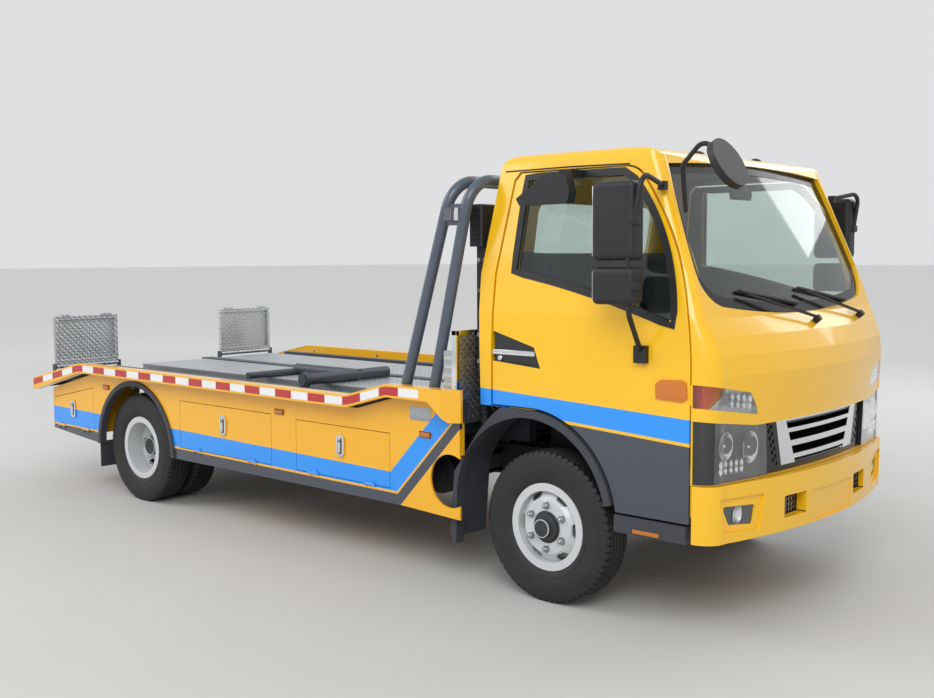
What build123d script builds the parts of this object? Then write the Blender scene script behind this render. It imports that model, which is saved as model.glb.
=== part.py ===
from build123d import *
import os
from math import cos, radians, sin, sqrt

os.makedirs("parts", exist_ok=True)

# Flatbed tow truck in millimetres: X forward, Y left, Z up from the ground.
# X = 0 is half way along the truck, between the bumper's face and the deck's tail.
overall_length = 5995
front_reach = 1077.5  # front axle to the bumper's face
wheelbase = 3650
front_axle_x = overall_length / 2 - front_reach
rear_axle_x = front_axle_x - wheelbase
deck_tail_x = -overall_length / 2
sides = (("right", -1), ("left", 1))
fit_gap = 0.3  # between pieces that seat on each other
moving_gap = 8  # seams round the doors

# Wheels and tyres
tyre_radius = 384
tyre_width = 192
rim_radius = 206
rim_flange = 222
rim_width = 152
front_wheel_y = 855
rear_outer_y = 891
dual_spacing = 225
rear_inner_y = rear_outer_y - dual_spacing
kingpin_y = 715
hub_radius = 82
hand_hole_count = 6
hand_hole_pitch = 163  # from the wheel's centre
hand_hole_size = (74, 32)
drum_radius = 168

# Chassis
rail_half_width = 380
rail_flange = 62
rail_bottom_z = 480
rail_top_z = 660
rail_front_top_z = 556
rail_wall = 8
rail_rear_x = deck_tail_x + 487
rail_front_x = front_axle_x + 960

# Cab
cab_half_width = 970
cab_wall = 45
cab_roof_z = 2264
cab_floor_z = 570
cab_rear_floor_z = 975
footwell_rear_x = front_axle_x + 475
glass_depth = 14
glass_thickness = 5
door_front_x = front_axle_x + 838
door_rear_x = front_axle_x - 325
door_bottom_z = 530
door_top_z = 2160
door_rear_lean = 76  # the rear seam leans forward with the cab's back
door_inner_y = 790
arch_x = front_axle_x - 85
arch_z = 455
arch_outer_radius = 518
arch_inner_radius = 478
arch_top_z = 972

# Deck and its tilt frame
deck_half_width = 1125
deck_front_x = front_axle_x - 453
headboard_x = deck_front_x - 47  # its front face
headboard_thickness = 28
deck_floor_z = 872
deck_floor_thickness = 6
deck_rail_width = 72
deck_rail_top_z = 967
deck_rail_height = 70
deck_step_rise = 85  # how much higher the rail stands behind the cab
tail_drop = 151
tail_length = 698
tilt_rail_bottom_z = rail_top_z + 8
tilt_rail_height = 96
tilt_pivot_x = deck_tail_x + 397
tilt_pivot_z = 620
slide_stroke = 2900

# Side bodies with tool lockers
body_half_width = 1030
body_wall = 12
body_front_x = front_axle_x - 497
body_rear_x = deck_tail_x + 137
body_top_z = 884
body_bottom_z = 375
locker_depth = 380
rear_arch_radius = 490
rear_arch_x = rear_axle_x + 30
rear_arch_z = 380

rail_under_z = deck_rail_top_z - deck_rail_height
tail_start_x = deck_tail_x + tail_length
step_x = (front_axle_x - 1286, front_axle_x - 961)  # where the deck's rails step up
flange_y = deck_half_width - deck_rail_width - 68


def side_plane(y):
    # A drawing plane seen from the truck's right: its x is X, its y is Z.
    return Plane(origin=(0, y, 0), x_dir=(1, 0, 0), z_dir=(0, -1, 0))


def cross_plane(x):
    # A drawing plane across the truck: its x is Y, its y is Z.
    return Plane(origin=(x, 0, 0), x_dir=(0, 1, 0), z_dir=(1, 0, 0))


def bar(low, high):
    # A box given by its two corners.
    sizes = [high[i] - low[i] for i in range(3)]
    centre = [(high[i] + low[i]) / 2 for i in range(3)]
    with Locations(tuple(centre)):
        Box(*sizes)


def mirrored_bar(side, low, high, mode=Mode.ADD):
    # The same, with y measured outward from the middle of the truck.
    y_low, y_high = sorted((side * low[1], side * high[1]))
    sizes = (high[0] - low[0], y_high - y_low, high[2] - low[2])
    with Locations(((low[0] + high[0]) / 2, (y_low + y_high) / 2, (low[2] + high[2]) / 2)):
        Box(*sizes, mode=mode)


def cross_tube(x, z, radius, y_low, y_high, mode=Mode.ADD):
    # A round bar along Y.
    with Locations(Location((x, (y_low + y_high) / 2, z), (90, 0, 0))):
        Cylinder(radius, abs(y_high - y_low), mode=mode)


def save(piece, name):
    piece.part.label = name
    export_step(piece.part, f"parts/{name}.step")


# The cab's form: level, half width, nose x, x and y where nose meets corner, side x, back x,
# with every x from the front axle.
cab_levels = (
    (430, 968, 1030, 942, 850, 836, -396),
    (735, 970, 1036, 944, 850, 838, -398),
    (985, 970, 1041, 946, 850, 840, -402),
    (1200, 970, 1056, 955, 850, 838, -408),
    (1290, 968, 1038, 946, 852, 832, -412),
    (1375, 965, 984, 914, 864, 818, -415),
    (1455, 962, 908, 872, 878, 800, -418),
    (1650, 937, 828, 803, 862, 748, -425),
    (2300, 848, 564, 546, 778, 490, -328),
)
cab_roof_front = (626, 2150)
cab_roof_start = (500, 2243)
cab_roof_back = (-290, 2246)
cab_back_top = (-349, 2170)


def cab_form(inset):
    # The cab's whole outer form, drawn in by an inset, open below when it is an inside.
    with BuildPart() as form:
        for level, half_width, nose, corner_x, corner_y, side_x, back in cab_levels:
            z = level - (200 if inset and level == cab_levels[0][0] else 0)
            side_y = half_width - inset
            with BuildSketch(Plane.XY.offset(z)):
                with BuildLine():
                    left = (front_axle_x + side_x, side_y)
                    left_corner = (front_axle_x + corner_x - inset, corner_y - 0.1 * inset)
                    right = (left[0], -left[1])
                    right_corner = (left_corner[0], -left_corner[1])
                    Line((front_axle_x + back + inset, -side_y), right)
                    TangentArc(right, right_corner, tangent=(1, 0))
                    ThreePointArc(right_corner, (front_axle_x + nose - inset, 0), left_corner)
                    TangentArc(left, left_corner, tangent=(1, 0))
                    Line(left, (front_axle_x + back + inset, side_y))
                    Line((front_axle_x + back + inset, side_y), (front_axle_x + back + inset, -side_y))
                make_face()
        loft(ruled=True)
        # The roof's shoulders, seen from the front
        with BuildSketch(cross_plane(front_axle_x - 600)):
            with BuildLine():
                shoulder = 78 - inset / 2
                top = cab_roof_z - 11 - inset
                edge = 868 - inset
                Polyline(
                    (-edge, top - shoulder),
                    (-1100, top - shoulder - 150),
                    (-1100, 200),
                    (1100, 200),
                    (1100, top - shoulder - 150),
                    (edge, top - shoulder),
                )
                TangentArc((edge, top - shoulder), (edge - shoulder, top), tangent=(0, 1))
                ThreePointArc((edge - shoulder, top), (0, cab_roof_z - inset), (shoulder - edge, top))
                TangentArc((-edge, top - shoulder), (shoulder - edge, top), tangent=(0, 1))
            make_face()
        extrude(amount=1800, mode=Mode.INTERSECT)
        # The roof's length, seen from the side
        with BuildSketch(side_plane(1000)):
            with BuildLine():
                roof_front = (front_axle_x + cab_roof_front[0] - inset, cab_roof_front[1])
                roof_start = (front_axle_x + cab_roof_start[0] - inset, cab_roof_start[1] - inset)
                roof_back = (front_axle_x + cab_roof_back[0] + inset / 2, cab_roof_back[1] - inset)
                back_top = (front_axle_x + cab_back_top[0] + inset, cab_back_top[1] - inset)
                TangentArc(roof_front, roof_start, tangent=(-0.4056, 1))
                ThreePointArc(roof_start, (front_axle_x + 100, cab_roof_z - inset), roof_back)
                TangentArc(back_top, roof_back, tangent=(0.15, 1))
                Polyline(
                    back_top,
                    (front_axle_x - 700, back_top[1] - 100),
                    (front_axle_x - 700, 200),
                    (front_axle_x + 1300, 200),
                    (front_axle_x + 1300, roof_front[1] - 100),
                    roof_front,
                )
            make_face()
        extrude(amount=2000, mode=Mode.INTERSECT)
    return form.part


cab_outer = cab_form(0)
cab_inner = cab_form(cab_wall)
door_clear = cab_form(cab_wall + 4)


def door_outline(gap):
    # A door seen from the side, drawn in by a gap all round.
    front = door_front_x - gap
    rear = door_rear_x + 1.7 * gap
    lean = rear + door_rear_lean
    top = door_top_z - gap
    arch = arch_outer_radius + 8 + gap
    low_z = door_bottom_z + gap
    seam_knee = (front - 60, 1627)
    seam_top = (front - 330, door_top_z - 32 - gap)
    flat_z = arch_top_z + 8 + gap
    arch_start = (arch_x + sqrt(arch ** 2 - (flat_z - arch_z) ** 2), flat_z) if arch > flat_z - arch_z \
        else (arch_x, arch_z + arch)
    arch_foot = (arch_x + sqrt(arch ** 2 - (low_z - arch_z) ** 2), low_z)
    middle = radians(40)
    with BuildSketch() as outline:
        with BuildLine():
            Polyline((rear, flat_z), (rear, 1650), (lean, top - 40), (lean + 36, top), (seam_top[0] - 85, top))
            ThreePointArc(
                (seam_top[0] - 85, top),
                (seam_top[0] - 38, door_top_z - 10 - gap),
                seam_top,
            )
            ThreePointArc(seam_top, (front - 178, 1910 - gap), seam_knee)
            ThreePointArc(seam_knee, (front - 19, 1440), (front, 1230))
            Line((front, 1230), (front, low_z))
            Line((front, low_z), arch_foot)
            ThreePointArc(
                arch_foot,
                (arch_x + arch * cos(middle), arch_z + arch * sin(middle)),
                arch_start,
            )
            Line(arch_start, (rear, flat_z))
        make_face()
    return outline.sketch


# The window in a door: points from the front axle, round from the low rear corner
window_bottom = ((-200, 1668), (150, 1600), (500, 1500), (735, 1432))
window_knee = (470, 2090)
window_top_rear = -164
window_top_z = 2128


def window_outline(gap):
    low_rear = (front_axle_x + window_bottom[0][0] + gap, window_bottom[0][1] + gap)
    low_front = (front_axle_x + window_bottom[-1][0] - gap, window_bottom[-1][1] + gap)
    mid = (front_axle_x + window_bottom[1][0] + 180, window_bottom[1][1] - 45 + gap)
    knee = (front_axle_x + window_knee[0] - gap, window_knee[1] - gap)
    top_rear = (front_axle_x + window_top_rear + gap, window_top_z - gap)
    with BuildSketch() as outline:
        with BuildLine():
            ThreePointArc(low_rear, mid, low_front)
            ThreePointArc(low_front, (front_axle_x + 645 - gap, 1830), knee)
            Line(knee, (knee[0] - 60, window_top_z - gap))
            Line((knee[0] - 60, window_top_z - gap), top_rear)
            Line(top_rear, low_rear)
        make_face()
        fillet(outline.vertices(), radius=28)
    return outline.sketch


def screen_outline(gap):
    # The windscreen seen from the front.
    top_y = 790 - gap
    side_y = 876 - gap
    with BuildSketch() as outline:
        with BuildLine():
            ThreePointArc((-top_y, 2166 - gap), (0, 2194 - gap), (top_y, 2166 - gap))
            ThreePointArc((top_y, 2166 - gap), (850 - gap, 1890), (side_y, 1672))
            ThreePointArc((side_y, 1672), (838 - gap, 1566 + gap), (715, 1502 + gap))
            ThreePointArc((715, 1502 + gap), (0, 1456 + gap), (-715, 1502 + gap))
            ThreePointArc((-715, 1502 + gap), (gap - 838, 1566 + gap), (-side_y, 1672))
            ThreePointArc((-side_y, 1672), (gap - 850, 1890), (-top_y, 2166 - gap))
        make_face()
    return outline.sketch


# The sloped layer that holds the windscreen, so its opening leaves the cab's sides whole
with BuildPart() as screen_slab:
    with BuildSketch(side_plane(1000)):
        with BuildLine():
            Polyline(
                (front_axle_x + 830, 1430),
                (front_axle_x + 1010, 1430),
                (front_axle_x + 700, 2210),
                (front_axle_x + 520, 2210),
                close=True,
            )
        make_face()
    extrude(amount=2000)


def cab_side_y(z):
    # The half width of the cab's skin at a height.
    for low, high in zip(cab_levels, cab_levels[1:]):
        if low[0] <= z <= high[0]:
            return low[1] + (high[1] - low[1]) * (z - low[0]) / (high[0] - low[0])
    return cab_half_width


def cab_nose_x(y, z):
    # How far forward the cab's skin is at a height and a distance from the middle.
    for low, high in zip(cab_levels, cab_levels[1:]):
        if low[0] <= z <= high[0]:
            share = (z - low[0]) / (high[0] - low[0])
            nose = low[2] + (high[2] - low[2]) * share
            corner = low[3] + (high[3] - low[3]) * share
            corner_y = low[4] + (high[4] - low[4]) * share
            return front_axle_x + nose - (nose - corner) * (y / corner_y) ** 2
    return front_axle_x


rear_window = (1150, 470)  # width and height
rear_window_z = 1790
front_band_z = 718  # the dark band of lamps and grille starts here
chin = ((0, 968), (640, 964), (1000, 1008))  # its top edge: y and z
lamp_depth = 30
lamp_set_back = 7
grille_set_back = 24
seam_land = 10  # skin left between the door's seam and the lamps
headlamp_inner_y = (556, 530)  # at the band's top and bottom
corner_lamp_points = ((1000, 1172), (690, 1118), (645, 1052), (636, 1014), (1000, 1068))
cooling_opening = (740, 190)  # width and height
cooling_opening_z = 846


bumper_z = (447, 712)
bumper_depth = 70
bumper_face_x = front_axle_x + front_reach


def bumper_plan(inset):
    tail = (door_front_x + seam_land, cab_half_width - inset)
    corner = (front_axle_x + 958 - inset, 855 - 0.1 * inset)
    nose = (bumper_face_x - inset, 0)
    with BuildSketch() as outline:
        with BuildLine():
            TangentArc(tail, corner, tangent=(1, 0))
            ThreePointArc(corner, nose, (corner[0], -corner[1]))
            TangentArc((tail[0], -tail[1]), (corner[0], -corner[1]), tangent=(1, 0))
            Line((tail[0], -tail[1]), tail)
        make_face()
    return outline.sketch


def band_outline(gap):
    # The dark band across the cab's front.
    edge = [(-y, z - gap) for y, z in chin[:0:-1]] + [(y, z - gap) for y, z in chin]
    with BuildSketch() as outline:
        with BuildLine():
            Polyline((-1000, front_band_z + gap), *edge, (1000, front_band_z + gap), close=True)
        make_face()
    return outline.sketch


def grille_outline(gap):
    # The middle of the band, between the head lamps.
    top_y, low_y = (y - gap for y in headlamp_inner_y)
    with BuildSketch() as outline:
        with BuildLine():
            Polyline((-low_y, 600), (-top_y, 1010), (top_y, 1010), (low_y, 600), close=True)
        make_face()
        add(band_outline(gap), mode=Mode.INTERSECT)
    return outline.sketch


def headlamp_outline(side, gap):
    # The rest of the band on one side.
    top_y, low_y = (y + gap for y in headlamp_inner_y)
    with BuildSketch() as outline:
        with BuildLine():
            Polyline(
                (side * low_y, 600),
                (side * top_y, 1010),
                (side * 1000, 1010),
                (side * 1000, 600),
                close=True,
            )
        make_face()
        add(band_outline(gap), mode=Mode.INTERSECT)
    return outline.sketch


def corner_lamp_outline(side, gap):
    with BuildSketch() as outline:
        with BuildLine():
            Polyline(*[(side * y, z) for y, z in corner_lamp_points], close=True)
        make_face()
        if gap:
            offset(amount=-gap)
    return outline.sketch


# Hinge line of the doors: down the middle of the front seam, just inside the skin
hinge_x = door_front_x
hinge_y = cab_half_width - 5
hinge_radius = moving_gap / 2 + 0.4
hinge_heights = (760, 1120)
hinge_length = 90

recess_back = cab_form(lamp_depth + fit_gap)
lamp_back = cab_form(lamp_depth)

# The wall that a door is cut from, and the wider band that its opening takes
door_cut = {}
for side_name, side in sides:
    with BuildPart() as opening:
        with BuildSketch(side_plane(side * door_inner_y)):
            add(door_outline(-moving_gap / 2))
        extrude(amount=-side * 300)
        add(cab_outer, mode=Mode.INTERSECT)
        add(door_clear, mode=Mode.SUBTRACT)
    door_cut[side_name] = opening.part

# Cab shell: hollow, with the doorways, windows, grille and lamps cut out
with BuildPart() as cab_shell:
    add(cab_outer)
    # The floor's outer form: footwell in front, raised over the wheels and engine
    with BuildSketch(side_plane(1100)):
        with BuildLine():
            Polyline(
                (footwell_rear_x, cab_floor_z),
                (footwell_rear_x, 800),
                (footwell_rear_x - 115, cab_rear_floor_z),
                (front_axle_x - 700, cab_rear_floor_z),
                (front_axle_x - 700, 2500),
                (front_axle_x + 1300, 2500),
                (front_axle_x + 1300, cab_floor_z),
                close=True,
            )
        make_face()
    extrude(amount=2200, mode=Mode.INTERSECT)
    with BuildPart(mode=Mode.PRIVATE) as cab_room:
        add(cab_inner)
        with BuildSketch(side_plane(1100)):
            with BuildLine():
                Polyline(
                    (front_axle_x + 790, cab_floor_z + cab_wall),
                    (footwell_rear_x + cab_wall, cab_floor_z + cab_wall),
                    (footwell_rear_x + cab_wall, 820),
                    (footwell_rear_x - 90, cab_rear_floor_z + cab_wall),
                    (front_axle_x - 700, cab_rear_floor_z + cab_wall),
                    (front_axle_x - 700, 2500),
                    (front_axle_x + 1300, 2500),
                    (front_axle_x + 1300, 750),
                    (front_axle_x + 900, 750),
                    close=True,
                )
            make_face()
        extrude(amount=2200, mode=Mode.INTERSECT)
    add(cab_room.part, mode=Mode.SUBTRACT)
    add(door_cut["right"], mode=Mode.SUBTRACT)
    add(door_cut["left"], mode=Mode.SUBTRACT)
    with BuildPart(mode=Mode.PRIVATE) as screen_hole:
        with BuildSketch(cross_plane(front_axle_x + 450)):
            add(screen_outline(0))
        extrude(amount=700)
        add(screen_slab.part, mode=Mode.INTERSECT)
    add(screen_hole.part, mode=Mode.SUBTRACT)
    # The nose steps back behind the bumper
    with BuildPart(mode=Mode.PRIVATE) as bumper_zone:
        bar((door_front_x + seam_land - 4, -1000, 300), (front_axle_x + 1200, 1000, bumper_z[1] + 4))
        with BuildSketch(Plane.XY.offset(200)):
            add(bumper_plan(bumper_depth + 4))
        extrude(amount=600, mode=Mode.SUBTRACT)
    add(bumper_zone.part, mode=Mode.SUBTRACT)
    with BuildSketch(cross_plane(front_axle_x - 500)):
        with Locations((0, rear_window_z)):
            RectangleRounded(*rear_window, 60)
    extrude(amount=250, mode=Mode.SUBTRACT)
    # The band for the lamps and the grille, let into the skin, and the opening for cooling air
    with BuildPart(mode=Mode.PRIVATE) as front_recess:
        add(cab_outer)
        with BuildSketch(cross_plane(door_front_x + seam_land)):
            add(band_outline(0))
            for side_name, side in sides:
                add(corner_lamp_outline(side, 0))
        extrude(amount=500, mode=Mode.INTERSECT)
        add(recess_back, mode=Mode.SUBTRACT)
    add(front_recess.part, mode=Mode.SUBTRACT)
    with BuildSketch(cross_plane(front_axle_x + 700)):
        with Locations((0, cooling_opening_z)):
            RectangleRounded(*cooling_opening, 30)
    extrude(amount=500, mode=Mode.SUBTRACT)
    for side_name, side in sides:
        for height in hinge_heights:
            with Locations((hinge_x, side * hinge_y, height)):
                Cylinder(hinge_radius + 0.5, hinge_length + 2, mode=Mode.SUBTRACT)
save(cab_shell, "cab_shell")

# Doors: hollowed like the cab, each with its window and two hinge barrels
for side_name, side in sides:
    with BuildPart() as door:
        with BuildSketch(side_plane(side * door_inner_y)):
            add(door_outline(moving_gap / 2))
            add(window_outline(0), mode=Mode.SUBTRACT)
        extrude(amount=-side * 300)
        add(cab_outer, mode=Mode.INTERSECT)
        add(cab_inner, mode=Mode.SUBTRACT)
        for height in hinge_heights:
            with Locations((hinge_x, side * hinge_y, height)):
                Cylinder(hinge_radius, hinge_length)
        # The pull of the door handle stands in a hollow
        with BuildSketch(side_plane(side * (cab_half_width + 5))):
            with BuildLine():
                Polyline(
                    (front_axle_x - 333, 1363),
                    (front_axle_x - 56, 1285),
                    (front_axle_x - 17, 1190),
                    (front_axle_x - 320, 1211),
                    close=True,
                )
            make_face()
        extrude(amount=side * 25, mode=Mode.SUBTRACT)
        mirrored_bar(
            side,
            (front_axle_x - 320, cab_half_width - 16, 1243),
            (front_axle_x - 50, cab_half_width - 3, 1265),
        )
        for end_x in (front_axle_x - 320, front_axle_x - 64):
            mirrored_bar(
                side,
                (end_x, cab_half_width - 22, 1243),
                (end_x + 14, cab_half_width - 3, 1265),
            )
    save(door, f"door_{side_name}")

# Door glass, seated in each window
pane_outer = cab_form(glass_depth)
pane_inner = cab_form(glass_depth + glass_thickness)
for side_name, side in sides:
    with BuildPart() as glass:
        with BuildSketch(side_plane(side * door_inner_y)):
            add(window_outline(fit_gap))
        extrude(amount=-side * 300)
        add(pane_outer, mode=Mode.INTERSECT)
        add(pane_inner, mode=Mode.SUBTRACT)
    save(glass, f"door_glass_{side_name}")

# Windscreen, bowed about its sloped middle line, and rear window
screen_foot = (front_axle_x + 902, 1430)
screen_rake = Vector(-0.4164, 0, 1)
screen_bow = 28
with BuildPart() as screen:
    with BuildSketch(
        Plane(origin=(screen_foot[0], 0, screen_foot[1]), x_dir=(0, 1, 0), z_dir=screen_rake)
    ):
        with BuildLine():
            ThreePointArc((-900, screen_bow), (0, 0), (900, screen_bow))
            Line((900, screen_bow), (900, screen_bow + glass_thickness))
            ThreePointArc(
                (900, screen_bow + glass_thickness),
                (0, glass_thickness),
                (-900, screen_bow + glass_thickness),
            )
            Line((-900, screen_bow + glass_thickness), (-900, screen_bow))
        make_face()
    extrude(amount=860)
    with BuildSketch(cross_plane(front_axle_x + 450)):
        add(screen_outline(fit_gap))
    extrude(amount=700, mode=Mode.INTERSECT)
with BuildPart() as back_pane:
    with BuildSketch(cross_plane(front_axle_x - 500)):
        with Locations((0, rear_window_z)):
            RectangleRounded(rear_window[0] - 2 * fit_gap, rear_window[1] - 2 * fit_gap, 60)
    extrude(amount=250)
    add(pane_outer, mode=Mode.INTERSECT)
    add(pane_inner, mode=Mode.SUBTRACT)
with BuildPart() as cab_glass:
    add(screen.part)
    add(back_pane.part)
save(cab_glass, "cab_glass")

# Grille: dark wings with a mesh, two slanted uprights and three bars across the opening
grille_face = cab_form(grille_set_back)
grille_bars = ((905, 20), (840, 28), (775, 22))  # z and height of each
upright_top = (365, 455)
upright_foot = (270, 392)
mesh_hole_radius = 12
with BuildPart() as grille:
    with BuildSketch(cross_plane(front_axle_x + 700)):
        add(grille_outline(fit_gap))
        with BuildLine():
            Polyline(
                (-upright_top[0], chin[0][1] - 16),
                (upright_top[0], chin[0][1] - 16),
                (upright_foot[0], front_band_z + 24),
                (-upright_foot[0], front_band_z + 24),
                close=True,
            )
        make_face(mode=Mode.SUBTRACT)
        for z, height in grille_bars:
            with Locations((0, z)):
                Rectangle(2 * upright_top[0], height)
        for side_name, side in sides:
            for row in range(6):
                mesh_z = front_band_z + 40 + 36 * row
                with Locations((side * (438 + 11 * row), mesh_z), (side * (466 + 11 * row), mesh_z + 18)):
                    RegularPolygon(mesh_hole_radius, 6, mode=Mode.SUBTRACT)
    extrude(amount=500)
    add(grille_face, mode=Mode.INTERSECT)
    add(lamp_back, mode=Mode.SUBTRACT)
save(grille, "grille")

# Head lamps with the dark panels beside them, and corner lamps round to the door's seam
lamp_face = cab_form(lamp_set_back)
with BuildPart() as headlamps:
    with BuildSketch(cross_plane(door_front_x + seam_land + fit_gap)):
        for side_name, side in sides:
            add(headlamp_outline(side, fit_gap))
    extrude(amount=500)
    add(lamp_face, mode=Mode.INTERSECT)
    add(lamp_back, mode=Mode.SUBTRACT)
with BuildPart() as corner_lamps:
    with BuildSketch(cross_plane(door_front_x + seam_land + fit_gap)):
        for side_name, side in sides:
            add(corner_lamp_outline(side, fit_gap))
    extrude(amount=500)
    add(cab_outer, mode=Mode.INTERSECT)
    add(lamp_back, mode=Mode.SUBTRACT)

def fog_outline(side, points, gap):
    with BuildSketch() as outline:
        with BuildLine():
            Polyline(*[(side * y, z) for y, z in points], close=True)
        make_face()
        fillet(outline.vertices(), radius=14)
        if gap:
            offset(amount=-gap)
    return outline.sketch


# Front bumper: a curved bar with lamp hollows, two vents and a bare number plate panel
fog_lamp_points = ((652, 601), (868, 614), (826, 526), (668, 512))  # y and z
fog_hollow_points = ((604, 646), (900, 652), (872, 496), (632, 488))
fog_hollow_depth = 12
fog_lamp_set_back = 22
vent_y = 364
vent_size = (184, 104)
vent_z = 560
number_panel = (464, 148)
number_panel_z = 531
with BuildPart() as bumper:
    with BuildSketch(Plane.XY.offset(bumper_z[0])):
        add(bumper_plan(0))
    extrude(amount=bumper_z[1] - bumper_z[0])
    with BuildSketch(Plane.XY.offset(bumper_z[0] - 1)):
        add(bumper_plan(bumper_depth))
    extrude(amount=bumper_z[1] - bumper_z[0] + 2, mode=Mode.SUBTRACT)
    with BuildPart(mode=Mode.PRIVATE) as fog_hollows:
        with BuildSketch(Plane.XY.offset(bumper_z[0])):
            add(bumper_plan(-5))
            add(bumper_plan(fog_hollow_depth), mode=Mode.SUBTRACT)
        extrude(amount=bumper_z[1] - bumper_z[0])
        with BuildSketch(cross_plane(front_axle_x + 700)):
            for side_name, side in sides:
                add(fog_outline(side, fog_hollow_points, 0))
        extrude(amount=500, mode=Mode.INTERSECT)
    add(fog_hollows.part, mode=Mode.SUBTRACT)
    with BuildSketch(cross_plane(front_axle_x + 700)):
        for side_name, side in sides:
            add(fog_outline(side, fog_lamp_points, 0))
            with Locations((side * vent_y, vent_z)):
                RectangleRounded(*vent_size, 12)
    extrude(amount=500, mode=Mode.SUBTRACT)
    with BuildSketch(cross_plane(bumper_face_x - 12)):
        with Locations((0, number_panel_z)):
            Rectangle(*number_panel)
    extrude(amount=50, mode=Mode.SUBTRACT)
    # A mesh of bars in each vent
    with BuildSketch(cross_plane(front_axle_x + 1008)):
        for side_name, side in sides:
            with Locations((side * vent_y, vent_z)):
                RectangleRounded(vent_size[0] + 4, vent_size[1] + 4, 12)
                with GridLocations(30, 26, 6, 4):
                    Rectangle(24, 20, mode=Mode.SUBTRACT)
    extrude(amount=10)
save(bumper, "front_bumper")

with BuildPart() as fog_lamps:
    with BuildSketch(Plane.XY.offset(bumper_z[0])):
        add(bumper_plan(fog_lamp_set_back))
        add(bumper_plan(bumper_depth - 12), mode=Mode.SUBTRACT)
    extrude(amount=bumper_z[1] - bumper_z[0])
    with BuildSketch(cross_plane(front_axle_x + 700)):
        for side_name, side in sides:
            add(fog_outline(side, fog_lamp_points, fit_gap))
    extrude(amount=500, mode=Mode.INTERSECT)
with BuildPart() as front_lamps:
    add(headlamps.part)
    add(corner_lamps.part)
    add(fog_lamps.part)
save(front_lamps, "front_lamps")

# Dashboard, steering wheel and seats
with BuildPart() as dashboard:
    with BuildSketch(side_plane(880)):
        with BuildLine():
            Polyline(
                (front_axle_x + 855, 1416),
                (front_axle_x + 620, 1400),
                (front_axle_x + 560, 1330),
                (front_axle_x + 600, 1180),
                (front_axle_x + 740, 1130),
                (front_axle_x + 900, 1130),
                close=True,
            )
        make_face()
        fillet(vertices(), radius=22)
    extrude(amount=1760)
    add(door_clear, mode=Mode.INTERSECT)
    # The steering column
    with BuildSketch(Plane(origin=(front_axle_x + 660, 420, 1270), z_dir=(-0.42, 0, 0.9))):
        Circle(30)
    extrude(amount=130)
save(dashboard, "dashboard")

wheel_plane = Plane(origin=(front_axle_x + 595, 420, 1415), z_dir=(-0.42, 0, 0.9))
with BuildPart() as steering_wheel:
    with BuildSketch(Plane(wheel_plane.origin, x_dir=wheel_plane.x_dir, z_dir=wheel_plane.y_dir)):
        with Locations((205, 0)):
            Circle(15)
    revolve(axis=Axis(wheel_plane.origin, wheel_plane.z_dir))
    with BuildSketch(wheel_plane.offset(-10)):
        Circle(48)
        for turn in (90, 210, 330):
            with Locations(Location((0, 0, 0), turn)):
                with Locations((110, 0)):
                    Rectangle(190, 30)
    extrude(amount=16)
save(steering_wheel, "steering_wheel")

seat_floor_z = cab_rear_floor_z + cab_wall
with BuildPart() as seats:
    for y_low, y_high in ((-800, -290), (-270, 130), (160, 680)):
        with BuildSketch(side_plane(y_high)):
            with BuildLine():
                Polyline(
                    (front_axle_x - 250, seat_floor_z + fit_gap),
                    (front_axle_x + 250, seat_floor_z + fit_gap),
                    (front_axle_x + 290, seat_floor_z + 150),
                    (front_axle_x + 255, seat_floor_z + 210),
                    (front_axle_x - 80, seat_floor_z + 190),
                    (front_axle_x - 190, seat_floor_z + 760),
                    (front_axle_x - 300, seat_floor_z + 760),
                    (front_axle_x - 250, seat_floor_z + 180),
                    close=True,
                )
            make_face()
            fillet(vertices(), radius=26)
        extrude(amount=y_high - y_low)
save(seats, "seats")

# Wipers parked on the cowl: pivot, arm and blade
wiper_pivot_z = 1408
wiper_tip_z = 1560
wiper_reach = 560
with BuildPart() as wipers:
    for pivot_y in (20, 610):
        tip_y = pivot_y - wiper_reach
        foot = (cab_nose_x(pivot_y, wiper_pivot_z), pivot_y, wiper_pivot_z)
        tip = (cab_nose_x(tip_y, wiper_tip_z) + 22, tip_y, wiper_tip_z)
        with BuildSketch(Plane(origin=foot, z_dir=(0.781, 0, 0.625)).offset(4)):
            Circle(17)
        extrude(amount=34)
        start = (foot[0] + 20, foot[1], foot[2] + 22)
        along = (tip[0] - start[0], tip[1] - start[1], tip[2] - start[2])
        length = sqrt(sum(step * step for step in along))
        with BuildSketch(Plane(origin=start, z_dir=along)):
            Rectangle(12, 16)
        extrude(amount=length)
save(wipers, "wipers")

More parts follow.
